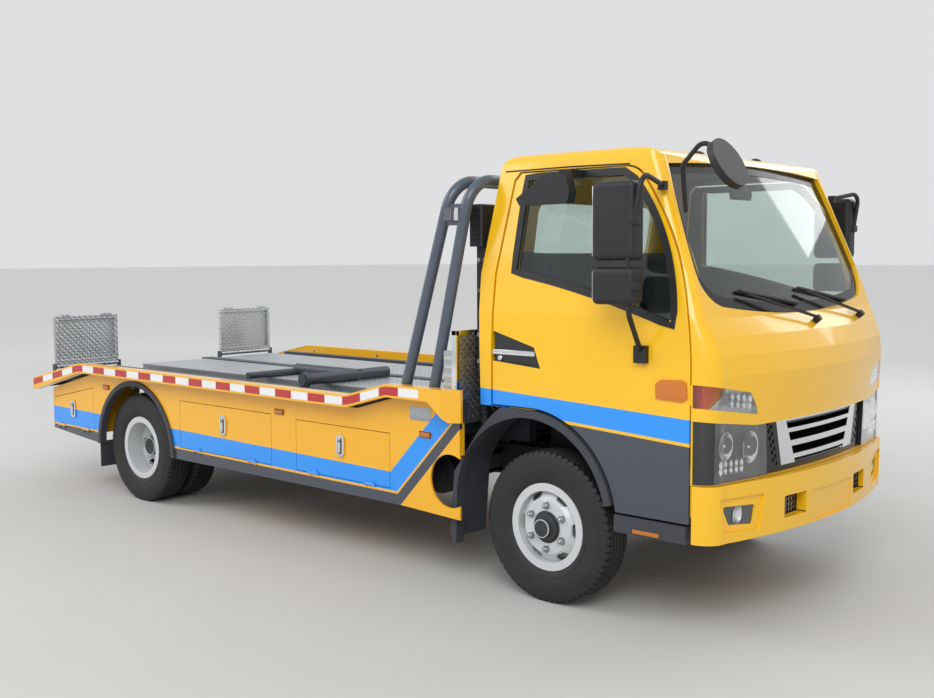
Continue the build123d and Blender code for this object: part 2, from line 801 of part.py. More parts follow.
# Mirrors: one bowed tube on each door with a large and a small head and a kerb mirror
mirror_y = 1170
kerb_mirror_y = (972, 1030)
kerb_mirror_points = ((-116, 2020), (-96, 1986), (196, 1990), (209, 2040), (186, 2128), (110, 2137), (60, 2128))
mirror_route = (
    (585, 985, 1300),
    (627, 1150, 1480),
    (635, mirror_y, 1764),
    (693, 1150, 2100),
    (640, 906, 2060),
)
for side_name, side in sides:
    with BuildPart() as mirror:
        points = [(front_axle_x + x, side * y, z) for x, y, z in mirror_route]
        with BuildLine() as tube_path:
            FilletPolyline(*points, radius=60)
        with BuildSketch(Plane(origin=points[0], z_dir=tube_path.line % 0)):
            Circle(12)
        sweep()
        for low_z, high_z in ((1522, 1689), (1719, 2068)):
            with BuildPart(mode=Mode.PRIVATE) as head:
                mirrored_bar(
                    side,
                    (front_axle_x + 443, mirror_y - 90, low_z),
                    (front_axle_x + 665, mirror_y + 14, high_z),
                )
                fillet(head.edges(), radius=26)
            add(head.part)
        for x, z, width, height in ((585, 1290, 64, 80), (640, 2056, 36, 40)):
            skin_y = cab_side_y(z - height / 2) + fit_gap
            mirrored_bar(
                side,
                (front_axle_x + x - width / 2, skin_y, z - height / 2),
                (front_axle_x + x + width / 2, skin_y + 30, z + height / 2),
            )
        # The kerb mirror on the right looks down beside the door
        if side < 0:
            bracket_low_z = 2112
            mirrored_bar(
                side,
                (front_axle_x + 112, cab_side_y(bracket_low_z) + fit_gap, bracket_low_z),
                (front_axle_x + 186, kerb_mirror_y[0] + 10, 2150),
            )
            with BuildSketch(side_plane(side * kerb_mirror_y[1])):
                with BuildLine():
                    Polyline(*[(front_axle_x + x, z) for x, z in kerb_mirror_points], close=True)
                make_face()
            extrude(amount=side * (kerb_mirror_y[1] - kerb_mirror_y[0]))
    save(mirror, f"mirror_{side_name}")

# Round front mirror on an arm from the right pillar
with BuildPart() as front_mirror:
    arm = (
        (front_axle_x + 742, -868, 1935),
        (front_axle_x + 760, -930, 2140),
        (front_axle_x + 860, -930, 2240),
        (front_axle_x + 945, -905, 2180),
    )
    with BuildLine() as arm_path:
        FilletPolyline(*arm, radius=45)
    with BuildSketch(Plane(origin=arm[0], z_dir=arm_path.line % 0)):
        Circle(11)
    sweep()
    with Locations(Location((front_axle_x + 965, -900, 2135), (0, 62, 0))):
        Cylinder(118, 34)
save(front_mirror, "front_mirror")

# Front mudguards: a moulded flare over the wheel and a guard behind it
with BuildPart() as fenders:
    for side_name, side in sides:
        start = radians(12)
        steps = radians(55)
        with BuildSketch(side_plane(side * 985)) as flare:
            with BuildLine():
                outer = arch_outer_radius
                inner = arch_inner_radius
                foot_out = (arch_x + outer * cos(start), arch_z + outer * sin(start))
                foot_in = (arch_x + inner * cos(start), arch_z + inner * sin(start))
                crown_in = (arch_x, arch_z + inner)
                crown_out = (arch_x, arch_z + outer - 1)
                rear_in = (arch_x - inner * cos(radians(8)), arch_z + inner * sin(radians(8)))
                ThreePointArc(foot_in, crown_in, rear_in)
                Line(rear_in, (front_axle_x - 566, 215))
                Polyline(
                    (front_axle_x - 566, 215),
                    (front_axle_x - 600, 215),
                    (front_axle_x - 608, 300),
                    (front_axle_x - 576, 606),
                    (front_axle_x - 404, 840),
                    (front_axle_x - 318, 926),
                    (front_axle_x - 255, arch_top_z),
                    crown_out,
                )
                ThreePointArc(
                    crown_out,
                    (arch_x + outer * cos(steps), arch_z + outer * sin(steps)),
                    foot_out,
                )
                Line(foot_out, foot_in)
            make_face()
        extrude(amount=side * 60)
        # The liner over the tyre and the guard behind it
        with BuildSketch(side_plane(side * 930)):
            with BuildLine():
                liner = arch_inner_radius + 22
                ThreePointArc(
                    (arch_x + liner * cos(radians(38)), arch_z + liner * sin(radians(38))),
                    (arch_x, arch_z + liner),
                    (arch_x - liner * cos(radians(20)), arch_z + liner * sin(radians(20))),
                )
                Line(
                    (arch_x - liner * cos(radians(20)), arch_z + liner * sin(radians(20))),
                    (front_axle_x - 590, 240),
                )
                Line((front_axle_x - 590, 240), (front_axle_x - 598, 240))
                Line(
                    (front_axle_x - 598, 240),
                    (arch_x - (liner + 8) * cos(radians(20)), arch_z + (liner + 8) * sin(radians(20))),
                )
                ThreePointArc(
                    (arch_x - (liner + 8) * cos(radians(20)), arch_z + (liner + 8) * sin(radians(20))),
                    (arch_x, arch_z + liner + 8),
                    (arch_x + (liner + 8) * cos(radians(38)), arch_z + (liner + 8) * sin(radians(38))),
                )
                Line(
                    (arch_x + (liner + 8) * cos(radians(38)), arch_z + (liner + 8) * sin(radians(38))),
                    (arch_x + liner * cos(radians(38)), arch_z + liner * sin(radians(38))),
                )
            make_face()
        extrude(amount=side * 210)
    # Entry steps below the doors
    step_top_z = door_bottom_z - 8
    for side_name, side in sides:
        mirrored_bar(side, (footwell_rear_x, 800, 440), (front_axle_x + 820, cab_half_width, step_top_z))
        mirrored_bar(side, (front_axle_x + 432, 930, 440), (footwell_rear_x + 5, cab_half_width, step_top_z))
        mirrored_bar(
            side,
            (footwell_rear_x + 10, 800, step_top_z - 5),
            (front_axle_x + 800, 830, cab_floor_z - fit_gap),
        )
save(fenders, "front_mudguards")


# Wheels, turned about the Y axis at the hub
def wheel_plane_at(x, side):
    # Local x is outward along the axle and local y is up from the axle line.
    return Plane(origin=(x, 0, tyre_radius), x_dir=(0, side, 0), z_dir=(side, 0, 0))


def tyre_section(centre):
    half = tyre_width / 2
    with BuildSketch() as section:
        with BuildLine():
            Polyline(
                (centre - 60, rim_radius),
                (centre + 60, rim_radius),
                (centre + half, 300),
                (centre + half - 7, 360),
                (centre + half - 26, tyre_radius),
                (centre - half + 26, tyre_radius),
                (centre - half + 7, 360),
                (centre - half, 300),
                close=True,
            )
        make_face()
    return section.sketch


def rim_section(centre, dish):
    # A rim barrel with its disc. A positive dish stands out towards the kerb.
    half = rim_width / 2
    disc_y = centre + dish
    with BuildSketch() as section:
        with BuildLine():
            Polyline(
                (centre - half, rim_flange),
                (centre - half, rim_radius - 24),
                (centre + half, rim_radius - 24),
                (centre + half, rim_flange),
                (centre + half - 7, rim_flange),
                (centre + half - 10, rim_radius - fit_gap),
                (centre - half + 10, rim_radius - fit_gap),
                (centre - half + 7, rim_flange),
                close=True,
            )
        make_face()
        with BuildLine():
            Polyline(
                (disc_y, hub_radius),
                (disc_y, hub_radius + 55),
                (disc_y - dish * 0.55, rim_radius - 20),
                (disc_y - dish * 0.55 - 10, rim_radius - 20),
                (disc_y - 10, hub_radius + 50),
                (disc_y - 10, hub_radius),
                close=True,
            )
        make_face()
    return section.sketch


def wheel_axis(x):
    return Axis((x, 0, tyre_radius), (0, 1, 0))


def cut_hand_holes(x, side, high_y, depth):
    # Oval holes round the disc, cut inward from high_y.
    with BuildSketch(side_plane(side * high_y)) as ovals:
        with Locations((x, tyre_radius)):
            with PolarLocations(hand_hole_pitch, hand_hole_count):
                SlotOverall(*hand_hole_size, rotation=90)
    extrude(ovals.sketch, amount=side * depth, dir=(0, -1, 0), mode=Mode.SUBTRACT)


# Front wheels: tyre, and rim with hub and brake drum
for side_name, side in sides:
    with BuildPart() as tyre:
        with BuildSketch(wheel_plane_at(front_axle_x, side)):
            add(tyre_section(front_wheel_y))
        revolve(axis=wheel_axis(front_axle_x))
    save(tyre, f"tyre_front_{side_name}")
    with BuildPart() as rim:
        with BuildSketch(wheel_plane_at(front_axle_x, side)):
            add(rim_section(front_wheel_y, 74))
        revolve(axis=wheel_axis(front_axle_x))
        cut_hand_holes(front_axle_x, side, 945, 72)
        cross_tube(front_axle_x, tyre_radius, drum_radius, side * 772, side * 860)
        cross_tube(front_axle_x, tyre_radius, hub_radius + 10, side * 855, side * 922)
        cross_tube(front_axle_x, tyre_radius, hub_radius - 12, side * 920, side * 944)
        cross_tube(front_axle_x, tyre_radius, 46, side * 944, side * 975)
        cross_tube(front_axle_x, tyre_radius, 22.5, side * 760, side * 930, mode=Mode.SUBTRACT)
    save(rim, f"rim_front_{side_name}")

# Rear wheels: twin tyres on twin rims round one hub
for side_name, side in sides:
    with BuildPart() as tyres:
        with BuildSketch(wheel_plane_at(rear_axle_x, side)):
            add(tyre_section(rear_outer_y))
            add(tyre_section(rear_inner_y))
        revolve(axis=wheel_axis(rear_axle_x))
    save(tyres, f"tyres_rear_{side_name}")
    with BuildPart() as rims:
        with BuildSketch(wheel_plane_at(rear_axle_x, side)):
            add(rim_section(rear_outer_y, -94))
            add(rim_section(rear_inner_y, 112))
        revolve(axis=wheel_axis(rear_axle_x))
        cut_hand_holes(rear_axle_x, side, 864, 150)
        cross_tube(rear_axle_x, tyre_radius, drum_radius, side * 610, side * 715)
        cross_tube(rear_axle_x, tyre_radius, hub_radius + 10, side * 710, side * 800)
        cross_tube(rear_axle_x, tyre_radius, 62, side * 800, side * 900)
        cross_tube(rear_axle_x, tyre_radius, 30.5, side * 600, side * 780, mode=Mode.SUBTRACT)
    save(rims, f"rims_rear_{side_name}")

# Steering knuckles: a fork round the axle's end, with kingpin and stub axle
kingpin_radius = 15
eye_height = 76
for side_name, side in sides:
    with BuildPart() as knuckle:
        for low_z, high_z in (
            (tyre_radius - eye_height / 2 - 24, tyre_radius - eye_height / 2 - fit_gap),
            (tyre_radius + eye_height / 2 + fit_gap, tyre_radius + eye_height / 2 + 24),
        ):
            with Locations((front_axle_x, side * kingpin_y, (low_z + high_z) / 2)):
                Cylinder(34, high_z - low_z)
            mirrored_bar(
                side,
                (front_axle_x - 30, kingpin_y, low_z),
                (front_axle_x + 30, kingpin_y + 50, high_z),
            )
        mirrored_bar(
            side,
            (front_axle_x - 34, kingpin_y + 38, tyre_radius - eye_height / 2 - 24),
            (front_axle_x + 34, kingpin_y + 54, tyre_radius + eye_height / 2 + 24),
        )
        cross_tube(front_axle_x, tyre_radius, 22, side * (kingpin_y + 45), side * 920)
        with Locations((front_axle_x, side * kingpin_y, tyre_radius)):
            Cylinder(kingpin_radius, eye_height + 60)
        # The steering arm, which points back to the tie rod
        mirrored_bar(
            side,
            (front_axle_x - 150, kingpin_y - 14, tyre_radius - eye_height / 2 - 22),
            (front_axle_x, kingpin_y + 14, tyre_radius - eye_height / 2 - 6),
        )
    save(knuckle, f"knuckle_{side_name}")

# Front axle: a dropped beam with an eye at each end
with BuildPart() as front_axle:
    with BuildSketch(cross_plane(front_axle_x - 32)):
        with BuildLine():
            Polyline(
                (-kingpin_y + 30, tyre_radius + 25),
                (-kingpin_y + 30, tyre_radius - 25),
                (-560, 295),
                (560, 295),
                (kingpin_y - 30, tyre_radius - 25),
                (kingpin_y - 30, tyre_radius + 25),
                (520, 362),
                (-520, 362),
                close=True,
            )
        make_face()
    extrude(amount=64)
    for side in (-1, 1):
        with Locations((front_axle_x, side * kingpin_y, tyre_radius)):
            Cylinder(36, eye_height)
    for side in (-1, 1):
        with Locations((front_axle_x, side * kingpin_y, tyre_radius)):
            Cylinder(kingpin_radius + 0.5, eye_height + 2, mode=Mode.SUBTRACT)
save(front_axle, "front_axle")

# Rear axle: tubes and a round differential housing
with BuildPart() as rear_axle:
    cross_tube(rear_axle_x, tyre_radius, 52, -596, 596)
    cross_tube(rear_axle_x, tyre_radius, 30, -770, 770)
    with Locations((rear_axle_x, 0, tyre_radius)):
        Sphere(160)
    with Locations(Location((rear_axle_x + 190, 0, tyre_radius), (0, 90, 0))):
        Cone(45, 90, 160)
    # The propeller shaft from the gearbox
    with Locations(Location(((rear_axle_x + 270 + front_axle_x - 1080) / 2, 0, 440), (0, 90, 0))):
        Cylinder(38, wheelbase - 270 - 1080 - 1)
    with Locations(Location((rear_axle_x + 280, 0, 415), (0, 90, 0))):
        Cylinder(62, 50)
save(rear_axle, "rear_axle")

# Engine and gearbox: one plain mass
with BuildPart() as engine:
    bar((front_axle_x - 480, -270, 430), (front_axle_x + 360, 270, 925))
    # The gearbox behind it, and its mountings
    bar((front_axle_x - 1080, -150, 450), (front_axle_x - 480 - fit_gap, 150, 650))
    for side_name, side in sides:
        mirrored_bar(
            side,
            (front_axle_x - 60, 270 + fit_gap, 540),
            (front_axle_x + 60, rail_half_width - 10, 600),
        )
save(engine, "engine")

# Chassis frame: two channel rails with cross members and the tilt pivot's shaft
tilt_cylinder_y = 240
tilt_cylinder_foot = (rear_axle_x + 650, 505)
tilt_cylinder_head = (rear_axle_x + 1750, 706)
cross_member_x = (
    front_axle_x + 800,
    front_axle_x - 1250,
    tilt_cylinder_foot[0] - 62,
    rear_axle_x - 560,
)
pivot_radius = 20
with BuildPart() as chassis:
    for side_name, side in sides:
        for offset, trim, mode in ((0, 0, Mode.ADD), (rail_wall, rail_wall, Mode.SUBTRACT)):
            with BuildSketch(side_plane(side * (rail_half_width - offset))):
                with BuildLine():
                    Polyline(
                        (rail_rear_x - trim, rail_bottom_z + trim),
                        (rail_front_x + trim, rail_bottom_z + trim),
                        (rail_front_x + trim, rail_front_top_z - trim),
                        (front_axle_x + 480, rail_front_top_z - trim),
                        (front_axle_x - 120, rail_top_z - trim),
                        (rail_rear_x - trim, rail_top_z - trim),
                        close=True,
                    )
                make_face()
            extrude(amount=side * rail_flange, mode=mode)
    inner_y = rail_half_width - rail_wall + 2
    for x in cross_member_x:
        low_z = rail_bottom_z + (12 if x > front_axle_x else 60)
        bar((x - 34, -inner_y, low_z), (x + 34, inner_y, low_z + 50))
    for side_name, side in sides:
        # Cheeks at the rear that carry the tilt pivot's shaft
        mirrored_bar(
            side,
            (tilt_pivot_x - 42, rail_half_width + 10, tilt_pivot_z - 60),
            (rail_rear_x + 60, rail_half_width + 24, tilt_pivot_z + 36),
        )
        mirrored_bar(
            side,
            (rail_rear_x + 4, rail_half_width - rail_wall, tilt_pivot_z - 60),
            (rail_rear_x + 60, rail_half_width + 14, tilt_pivot_z + 30),
        )
        # Lugs and pin at the foot of each tilt cylinder
        for lug_y in (tilt_cylinder_y - 38, tilt_cylinder_y + 26):
            mirrored_bar(
                side,
                (tilt_cylinder_foot[0] - 66, lug_y, tilt_cylinder_foot[1] - 32),
                (tilt_cylinder_foot[0] + 18, lug_y + 12, tilt_cylinder_foot[1] + 60),
            )
        cross_tube(
            tilt_cylinder_foot[0],
            tilt_cylinder_foot[1],
            16,
            side * (tilt_cylinder_y - 38),
            side * (tilt_cylinder_y + 38),
        )
    cross_tube(tilt_pivot_x, tilt_pivot_z, pivot_radius, -rail_half_width - 24, rail_half_width + 24)
save(chassis, "chassis_frame")

# Leaf springs outside the rails: axle x, half length, seat z, eye z and thickness at the middle
spring_rows = (
    (front_axle_x, 575, 362.3, 500, 40),
    (rear_axle_x, 640, tyre_radius + 52, 556, 48),
)
spring_y = (428, 492)
with BuildPart() as springs:
    for axle_x, reach, seat_z, eye_z, stack in spring_rows:
        for side_name, side in sides:
            with BuildSketch(side_plane(side * spring_y[1])):
                with BuildLine():
                    low_ends = ((axle_x - reach, eye_z), (axle_x + reach, eye_z))
                    high_ends = ((axle_x - reach, eye_z + 14), (axle_x + reach, eye_z + 14))
                    ThreePointArc(low_ends[0], (axle_x, seat_z + 8), low_ends[1])
                    Line(low_ends[1], high_ends[1])
                    ThreePointArc(high_ends[1], (axle_x, seat_z + stack), high_ends[0])
                    Line(high_ends[0], low_ends[0])
                make_face()
            extrude(amount=side * (spring_y[1] - spring_y[0]))
            mirrored_bar(side, (axle_x - 60, spring_y[0] - 6, seat_z), (axle_x + 60, spring_y[1] + 6, seat_z + 14))
            for end in (-1, 1):
                mirrored_bar(
                    side,
                    (axle_x + end * reach - 26, rail_half_width, eye_z - 14),
                    (axle_x + end * reach + 26, spring_y[1] + 6, eye_z + 46 if axle_x < 0 else eye_z + 30),
                )
save(springs, "leaf_springs")

# Rear underrun bar with its two legs, and the tail lamps on it
underrun_x = deck_tail_x + 72
underrun_z = (400, 490)
with BuildPart() as underrun:
    bar((underrun_x, -940, underrun_z[0]), (underrun_x + 50, 940, underrun_z[1]))
    for side_name, side in sides:
        mirrored_bar(
            side,
            (underrun_x + 40, rail_half_width - 50, underrun_z[1] - 40),
            (rail_rear_x - fit_gap, rail_half_width - 8, rail_bottom_z + 72),
        )
        for lamp_y in (630, 890):
            mirrored_bar(
                side,
                (underrun_x + 12, lamp_y, underrun_z[1] - 5),
                (underrun_x + 40, lamp_y + 24, underrun_z[1] + 40),
            )
save(underrun, "rear_bumper")
with BuildPart() as tail_lamps:
    for side_name, side in sides:
        mirrored_bar(
            side,
            (underrun_x + 2, 600, underrun_z[1] + 40.3),
            (underrun_x + 52, 940, underrun_z[1] + 125),
        )
save(tail_lamps, "tail_lamps")

canister_x = front_axle_x - 775
canister_z = 556
canister_radius = 115
cutout_x = front_axle_x - 567
cutout_radius = 143

# Muffler and tail pipe under the right rail, tank under the left one
with BuildPart() as exhaust:
    with Locations(Location((front_axle_x - 1560, -510, 545), (0, 90, 0))):
        Cylinder(85, 560)
    with Locations(Location((front_axle_x - 2180, -510, 545), (0, 90, 0))):
        Cylinder(32, 700)
    with Locations(Location((front_axle_x - 1100, -510, 545), (0, 90, 0))):
        Cylinder(32, 380)
    for x in (front_axle_x - 1740, front_axle_x - 1380):
        bar((x - 15, -470, 600), (x + 15, -rail_half_width, 650))
save(exhaust, "exhaust")
with BuildPart() as tanks:
    with BuildPart(mode=Mode.PRIVATE) as tank:
        bar((front_axle_x - 2050, 408, 400), (front_axle_x - 1120, 632, 655))
        fillet(tank.edges().filter_by(Axis.X), radius=36)
    add(tank.part)
    for x in (front_axle_x - 1900, front_axle_x - 1250):
        bar((x - 20, rail_half_width, 560), (x + 20, 420, 600))
    # The brake's air tank in the left body's cut-out
    cross_tube(canister_x, canister_z, canister_radius - 10, 640, 890)
    for z in (canister_z - 60, canister_z + 44):
        bar((canister_x - 20, rail_half_width, z), (canister_x + 20, 650, z + 16))
save(tanks, "fuel_and_air_tanks")

# Air cleaner: a drum in the right body's round cut-out, and the intake behind the cab
with BuildPart() as air_cleaner:
    cross_tube(canister_x, canister_z, canister_radius, -890, -640)
    cross_tube(canister_x, canister_z, 60, -896, -889)
    for z in (canister_z - 60, canister_z + 44):
        bar((canister_x - 20, -650, z), (canister_x + 20, -rail_half_width, z + 16))
    # Its intake stands behind the cab
    snorkel_x = front_axle_x - 427
    stack_z = (1120, 1790)
    with BuildPart(mode=Mode.PRIVATE) as scoop:
        bar((snorkel_x - 90, -930, stack_z[1] + fit_gap), (snorkel_x, -800, 2010))
        fillet(scoop.edges().group_by(Axis.Z)[-1] + scoop.edges().filter_by(Axis.Z), radius=14)
    add(scoop.part)
    bar((snorkel_x - 60, -900, stack_z[0]), (snorkel_x, -830, stack_z[1]))
    # The hose runs down from it to the canister
    hose_start = (snorkel_x - 31, -865, stack_z[0] - fit_gap)
    with BuildPart(mode=Mode.PRIVATE) as hose:
        with BuildLine() as hose_path:
            FilletPolyline(
                hose_start,
                (snorkel_x - 31, -865, 850),
                (front_axle_x - 640, -800, 690),
                (canister_x + 50, -780, canister_z + 60),
                radius=40,
            )
        with BuildSketch(Plane(origin=hose_start, z_dir=(0, 0, -1))):
            Circle(28)
        sweep(path=hose_path.line)
        cross_tube(canister_x, canister_z, canister_radius + fit_gap, -890, -640, mode=Mode.SUBTRACT)
    add(hose.part)
save(air_cleaner, "air_cleaner")

# Side bodies: a folded skin, three lockers behind doors, a wheel arch and a front cut-out.
# Locker doors: low rear x, low front x, sill z, top z at the rear and at the front.
arch_clear = rear_arch_radius + 70
locker_rows = (
    (body_rear_x + 12, rear_arch_x - arch_clear, 452, 668, 782),
    (rear_arch_x + arch_clear, front_axle_x - 2070, 456, 780, 780),
    (front_axle_x - 1835, front_axle_x - 1020, 456, 768, 768),
)
locker_names = ("rear", "middle", "front")
lid_thickness = 20
lid_gap = 4
lid_hinge_out = 5.5
lid_hinge_radius = 6.4
body_inner_y = body_half_width - body_wall


def locker_outline(row, grow):
    rear, front, sill, rear_top, front_top = row
    with BuildSketch() as outline:
        with BuildLine():
            Polyline(
                (rear - grow, sill - grow),
                (front + grow, sill - grow),
                (front + grow, front_top + grow),
                (rear - grow, rear_top + grow),
                close=True,
            )
        make_face()
    return outline.sketch


def locker_roof_z(row, x):
    # The underside of a locker's roof, which slopes over the rear one.
    rear, front, sill, rear_top, front_top = row
    return rear_top + (front_top - rear_top) * (x - rear) / (front - rear)


def locker_walls(row):
    # Floor, roof and two ends of a locker, seen from the side, with fine seams between them.
    rear, front, sill, rear_top, front_top = row
    out_rear, out_front = rear - body_wall, front + body_wall
    roof = [(x, locker_roof_z(row, x)) for x in (out_rear, out_front)]
    walls = [
        ((out_rear, sill - body_wall), (out_front, sill - body_wall), (out_front, sill), (out_rear, sill)),
        (*roof, (out_front, roof[1][1] + body_wall), (out_rear, roof[0][1] + body_wall)),
    ]
    for low_x, high_x in ((out_rear, rear), (front, out_front)):
        walls.append(
            (
                (low_x, sill + fit_gap),
                (high_x, sill + fit_gap),
                (high_x, locker_roof_z(row, high_x) - fit_gap),
                (low_x, locker_roof_z(row, low_x) - fit_gap),
            )
        )
    return walls


# The side is in panels, with fine seams at the locker doors' ends and where the upper edge bends up
body_split_x = step_x[0]
panel_seams = [body_split_x] + [x for row in locker_rows for x in row[:2]]
for side_name, side in sides:
    with BuildPart() as skin:
        with BuildSketch(side_plane(side * body_half_width)):
            with BuildLine():
                Polyline(
                    (body_rear_x, 427),
                    (body_rear_x, 738),
                    (tail_start_x + 40, body_top_z),
                    (body_split_x, body_top_z),
                    (front_axle_x - 965, 972),
                    (body_front_x - 24, 972),
                    (body_front_x - 24, 870),
                    (body_front_x, 870),
                    (body_front_x, 357),
                    (front_axle_x - 930, body_bottom_z),
                    (rear_arch_x - rear_arch_radius, body_bottom_z),
                    close=True,
                )
            make_face()
            with Locations((rear_arch_x, rear_arch_z)):
                Circle(rear_arch_radius, mode=Mode.SUBTRACT)
            with Locations((rear_arch_x, rear_arch_z - 200)):
                Rectangle(2 * rear_arch_radius, 400, mode=Mode.SUBTRACT)
            with Locations((cutout_x, canister_z)):
                Circle(cutout_radius, mode=Mode.SUBTRACT)
            with Locations((cutout_x + 100, canister_z)):
                Rectangle(200, 150, mode=Mode.SUBTRACT)
            for row in locker_rows:
                add(locker_outline(row, 0), mode=Mode.SUBTRACT)
            with Locations(*[(x, body_top_z / 2) for x in panel_seams]):
                Rectangle(fit_gap, 2 * body_top_z, mode=Mode.SUBTRACT)
        extrude(amount=side * body_wall)
        # The return at the front
        mirrored_bar(side, (body_front_x - body_wall, 992, 700), (body_front_x, body_half_width, 870))
        # Hinge knuckles below each opening
        for row in locker_rows:
            for end in (0.2, 0.8):
                hinge_at = row[0] + (row[1] - row[0]) * end
                for knuckle_x in (hinge_at - 38, hinge_at + 38):
                    with Locations(
                        Location(
                            (knuckle_x, side * (body_half_width + lid_hinge_out), row[2] + lid_gap),
                            (0, 90, 0),
                        )
                    ):
                        Cylinder(lid_hinge_radius, 12)
                    mirrored_bar(
                        side,
                        (knuckle_x - 6, body_half_width - 4, row[2] - 22),
                        (knuckle_x + 6, body_half_width + lid_hinge_out, row[2] + 1),
                    )
    with BuildPart() as lockers:
        back_y = body_half_width - locker_depth
        wall_length = body_inner_y - back_y - body_wall - 2 * fit_gap
        for row in locker_rows:
            with BuildSketch(side_plane(side * (back_y + body_wall))):
                add(locker_outline(row, body_wall))
            extrude(amount=side * body_wall)
            for wall in locker_walls(row):
                with BuildSketch(side_plane(side * (body_inner_y - fit_gap))):
                    with BuildLine():
                        Polyline(*wall, close=True)
                    make_face()
                extrude(amount=side * wall_length)
            # A stay that carries the body on the chassis rail
            stay_x = row[1] - 60
            mirrored_bar(
                side,
                (stay_x - 25, rail_half_width + fit_gap, 606),
                (stay_x + 25, back_y - fit_gap, 640),
            )
    with BuildPart() as body:
        add(skin.part)
        add(lockers.part)
    save(body, f"side_body_{side_name}")

    for name, row in zip(locker_names, locker_rows):
        with BuildPart() as lid:
            with BuildSketch(side_plane(side * body_half_width)):
                add(locker_outline(row, -lid_gap))
            extrude(amount=side * lid_thickness)
            for end in (0.2, 0.8):
                hinge_at = row[0] + (row[1] - row[0]) * end
                for knuckle_x in (hinge_at - 38, hinge_at + 38):
                    with Locations(
                        Location(
                            (knuckle_x, side * (body_half_width + lid_hinge_out), row[2] + lid_gap),
                            (0, 90, 0),
                        )
                    ):
                        Cylinder(lid_hinge_radius + 2.5, 17, mode=Mode.SUBTRACT)
                with Locations(
                    Location(
                        (hinge_at, side * (body_half_width + lid_hinge_out), row[2] + lid_gap),
                        (0, 90, 0),
                    )
                ):
                    Cylinder(lid_hinge_radius, 62)
                mirrored_bar(
                    side,
                    (hinge_at - 31, body_half_width - 4, row[2] + lid_gap + 3),
                    (hinge_at + 31, body_half_width + lid_hinge_out, row[2] + lid_gap + 20),
                )
            # The oval latch
            latch_z = (row[2] + min(row[3], row[4])) / 2 + 40
            with BuildSketch(side_plane(side * (body_half_width + 6))):
                with Locations((((row[0] + row[1]) / 2), latch_z)):
                    SlotOverall(126, 58, rotation=90)
            extrude(amount=side * 10)
        save(lid, f"locker_door_{name}_{side_name}")

# Black arch mouldings over the rear wheels, with a flap behind each
with BuildPart() as arches:
    for side_name, side in sides:
        with BuildSketch(side_plane(side * (body_half_width + 14))):
            with Locations((rear_arch_x, rear_arch_z)):
                Circle(rear_arch_radius - fit_gap)
                Circle(rear_arch_radius - 34, mode=Mode.SUBTRACT)
            with Locations((rear_arch_x, rear_arch_z - 400 - 4)):
                Rectangle(1200, 800, mode=Mode.SUBTRACT)
        extrude(amount=side * 50)
        mirrored_bar(
            side,
            (rear_arch_x - rear_arch_radius + 6, 600, 200),
            (rear_arch_x - rear_arch_radius + 14, body_half_width, rear_arch_z + 10),
        )
save(arches, "rear_mudguards")

# Tilt frame: two rails on the chassis, low cross members, the slide cylinder's barrel
tilt_rail_top_z = tilt_rail_bottom_z + tilt_rail_height
tilt_front_x = front_axle_x - 700
tilt_rail_y = (316, 376)
slide_z = tilt_rail_top_z - 40
slide_rod_radius = 20
slide_barrel_x = (tilt_front_x - 3080, tilt_front_x - 60)
pivot_barrel_radius = 34
head_drift = 24  # the tilt cylinder's pin wanders this far in its bracket
with BuildPart() as tilt_frame:
    for side_name, side in sides:
        mirrored_bar(
            side,
            (tilt_pivot_x - 34, tilt_rail_y[0], tilt_rail_bottom_z),
            (tilt_front_x, tilt_rail_y[1], tilt_rail_top_z),
        )
        cross_tube(tilt_pivot_x, tilt_pivot_z, pivot_barrel_radius, side * tilt_rail_y[0], side * (tilt_rail_y[1] - 2))
        mirrored_bar(
            side,
            (tilt_pivot_x - 34, tilt_rail_y[0], tilt_pivot_z),
            (tilt_pivot_x + 34, tilt_rail_y[1] - 2, tilt_rail_bottom_z + 2),
        )
    for x in (tilt_pivot_x - 34, tilt_cylinder_foot[0] - 260, tilt_cylinder_head[0] + 120, tilt_front_x - 80):
        bar((x, -tilt_rail_y[0] - 2, tilt_rail_bottom_z), (x + 80, tilt_rail_y[0] + 2, tilt_rail_bottom_z + 18))
    for side_name, side in sides:
        # Bracket plates that take the head of each tilt cylinder
        for lug_y in (tilt_cylinder_y - 46, tilt_cylinder_y + 34):
            mirrored_bar(
                side,
                (tilt_cylinder_head[0] - 62, lug_y, tilt_cylinder_head[1] - 50),
                (tilt_cylinder_head[0] + 130, lug_y + 12, tilt_rail_top_z - 4),
            )
        mirrored_bar(
            side,
            (tilt_cylinder_head[0] + 100, tilt_cylinder_y - 46, tilt_rail_bottom_z),
            (tilt_cylinder_head[0] + 130, tilt_rail_y[0] + 2, tilt_rail_top_z - 4),
        )
        cross_tube(
            tilt_cylinder_head[0],
            tilt_cylinder_head[1],
            14 + head_drift,
            side * (tilt_cylinder_y - 60),
            side * (tilt_cylinder_y + 60),
            mode=Mode.SUBTRACT,
        )
    cross_tube(tilt_pivot_x, tilt_pivot_z, pivot_radius + 0.4, -400, 400, mode=Mode.SUBTRACT)
    # The barrel rests on the cross members
    with Locations(Location((sum(slide_barrel_x) / 2, 0, slide_z), (0, 90, 0))):
        Cylinder(38, slide_barrel_x[1] - slide_barrel_x[0])
    with Locations(Location((sum(slide_barrel_x) / 2 - 20, 0, slide_z), (0, 90, 0))):
        Cylinder(slide_rod_radius + 0.4, slide_barrel_x[1] - slide_barrel_x[0] - 20, mode=Mode.SUBTRACT)
save(tilt_frame, "tilt_frame")

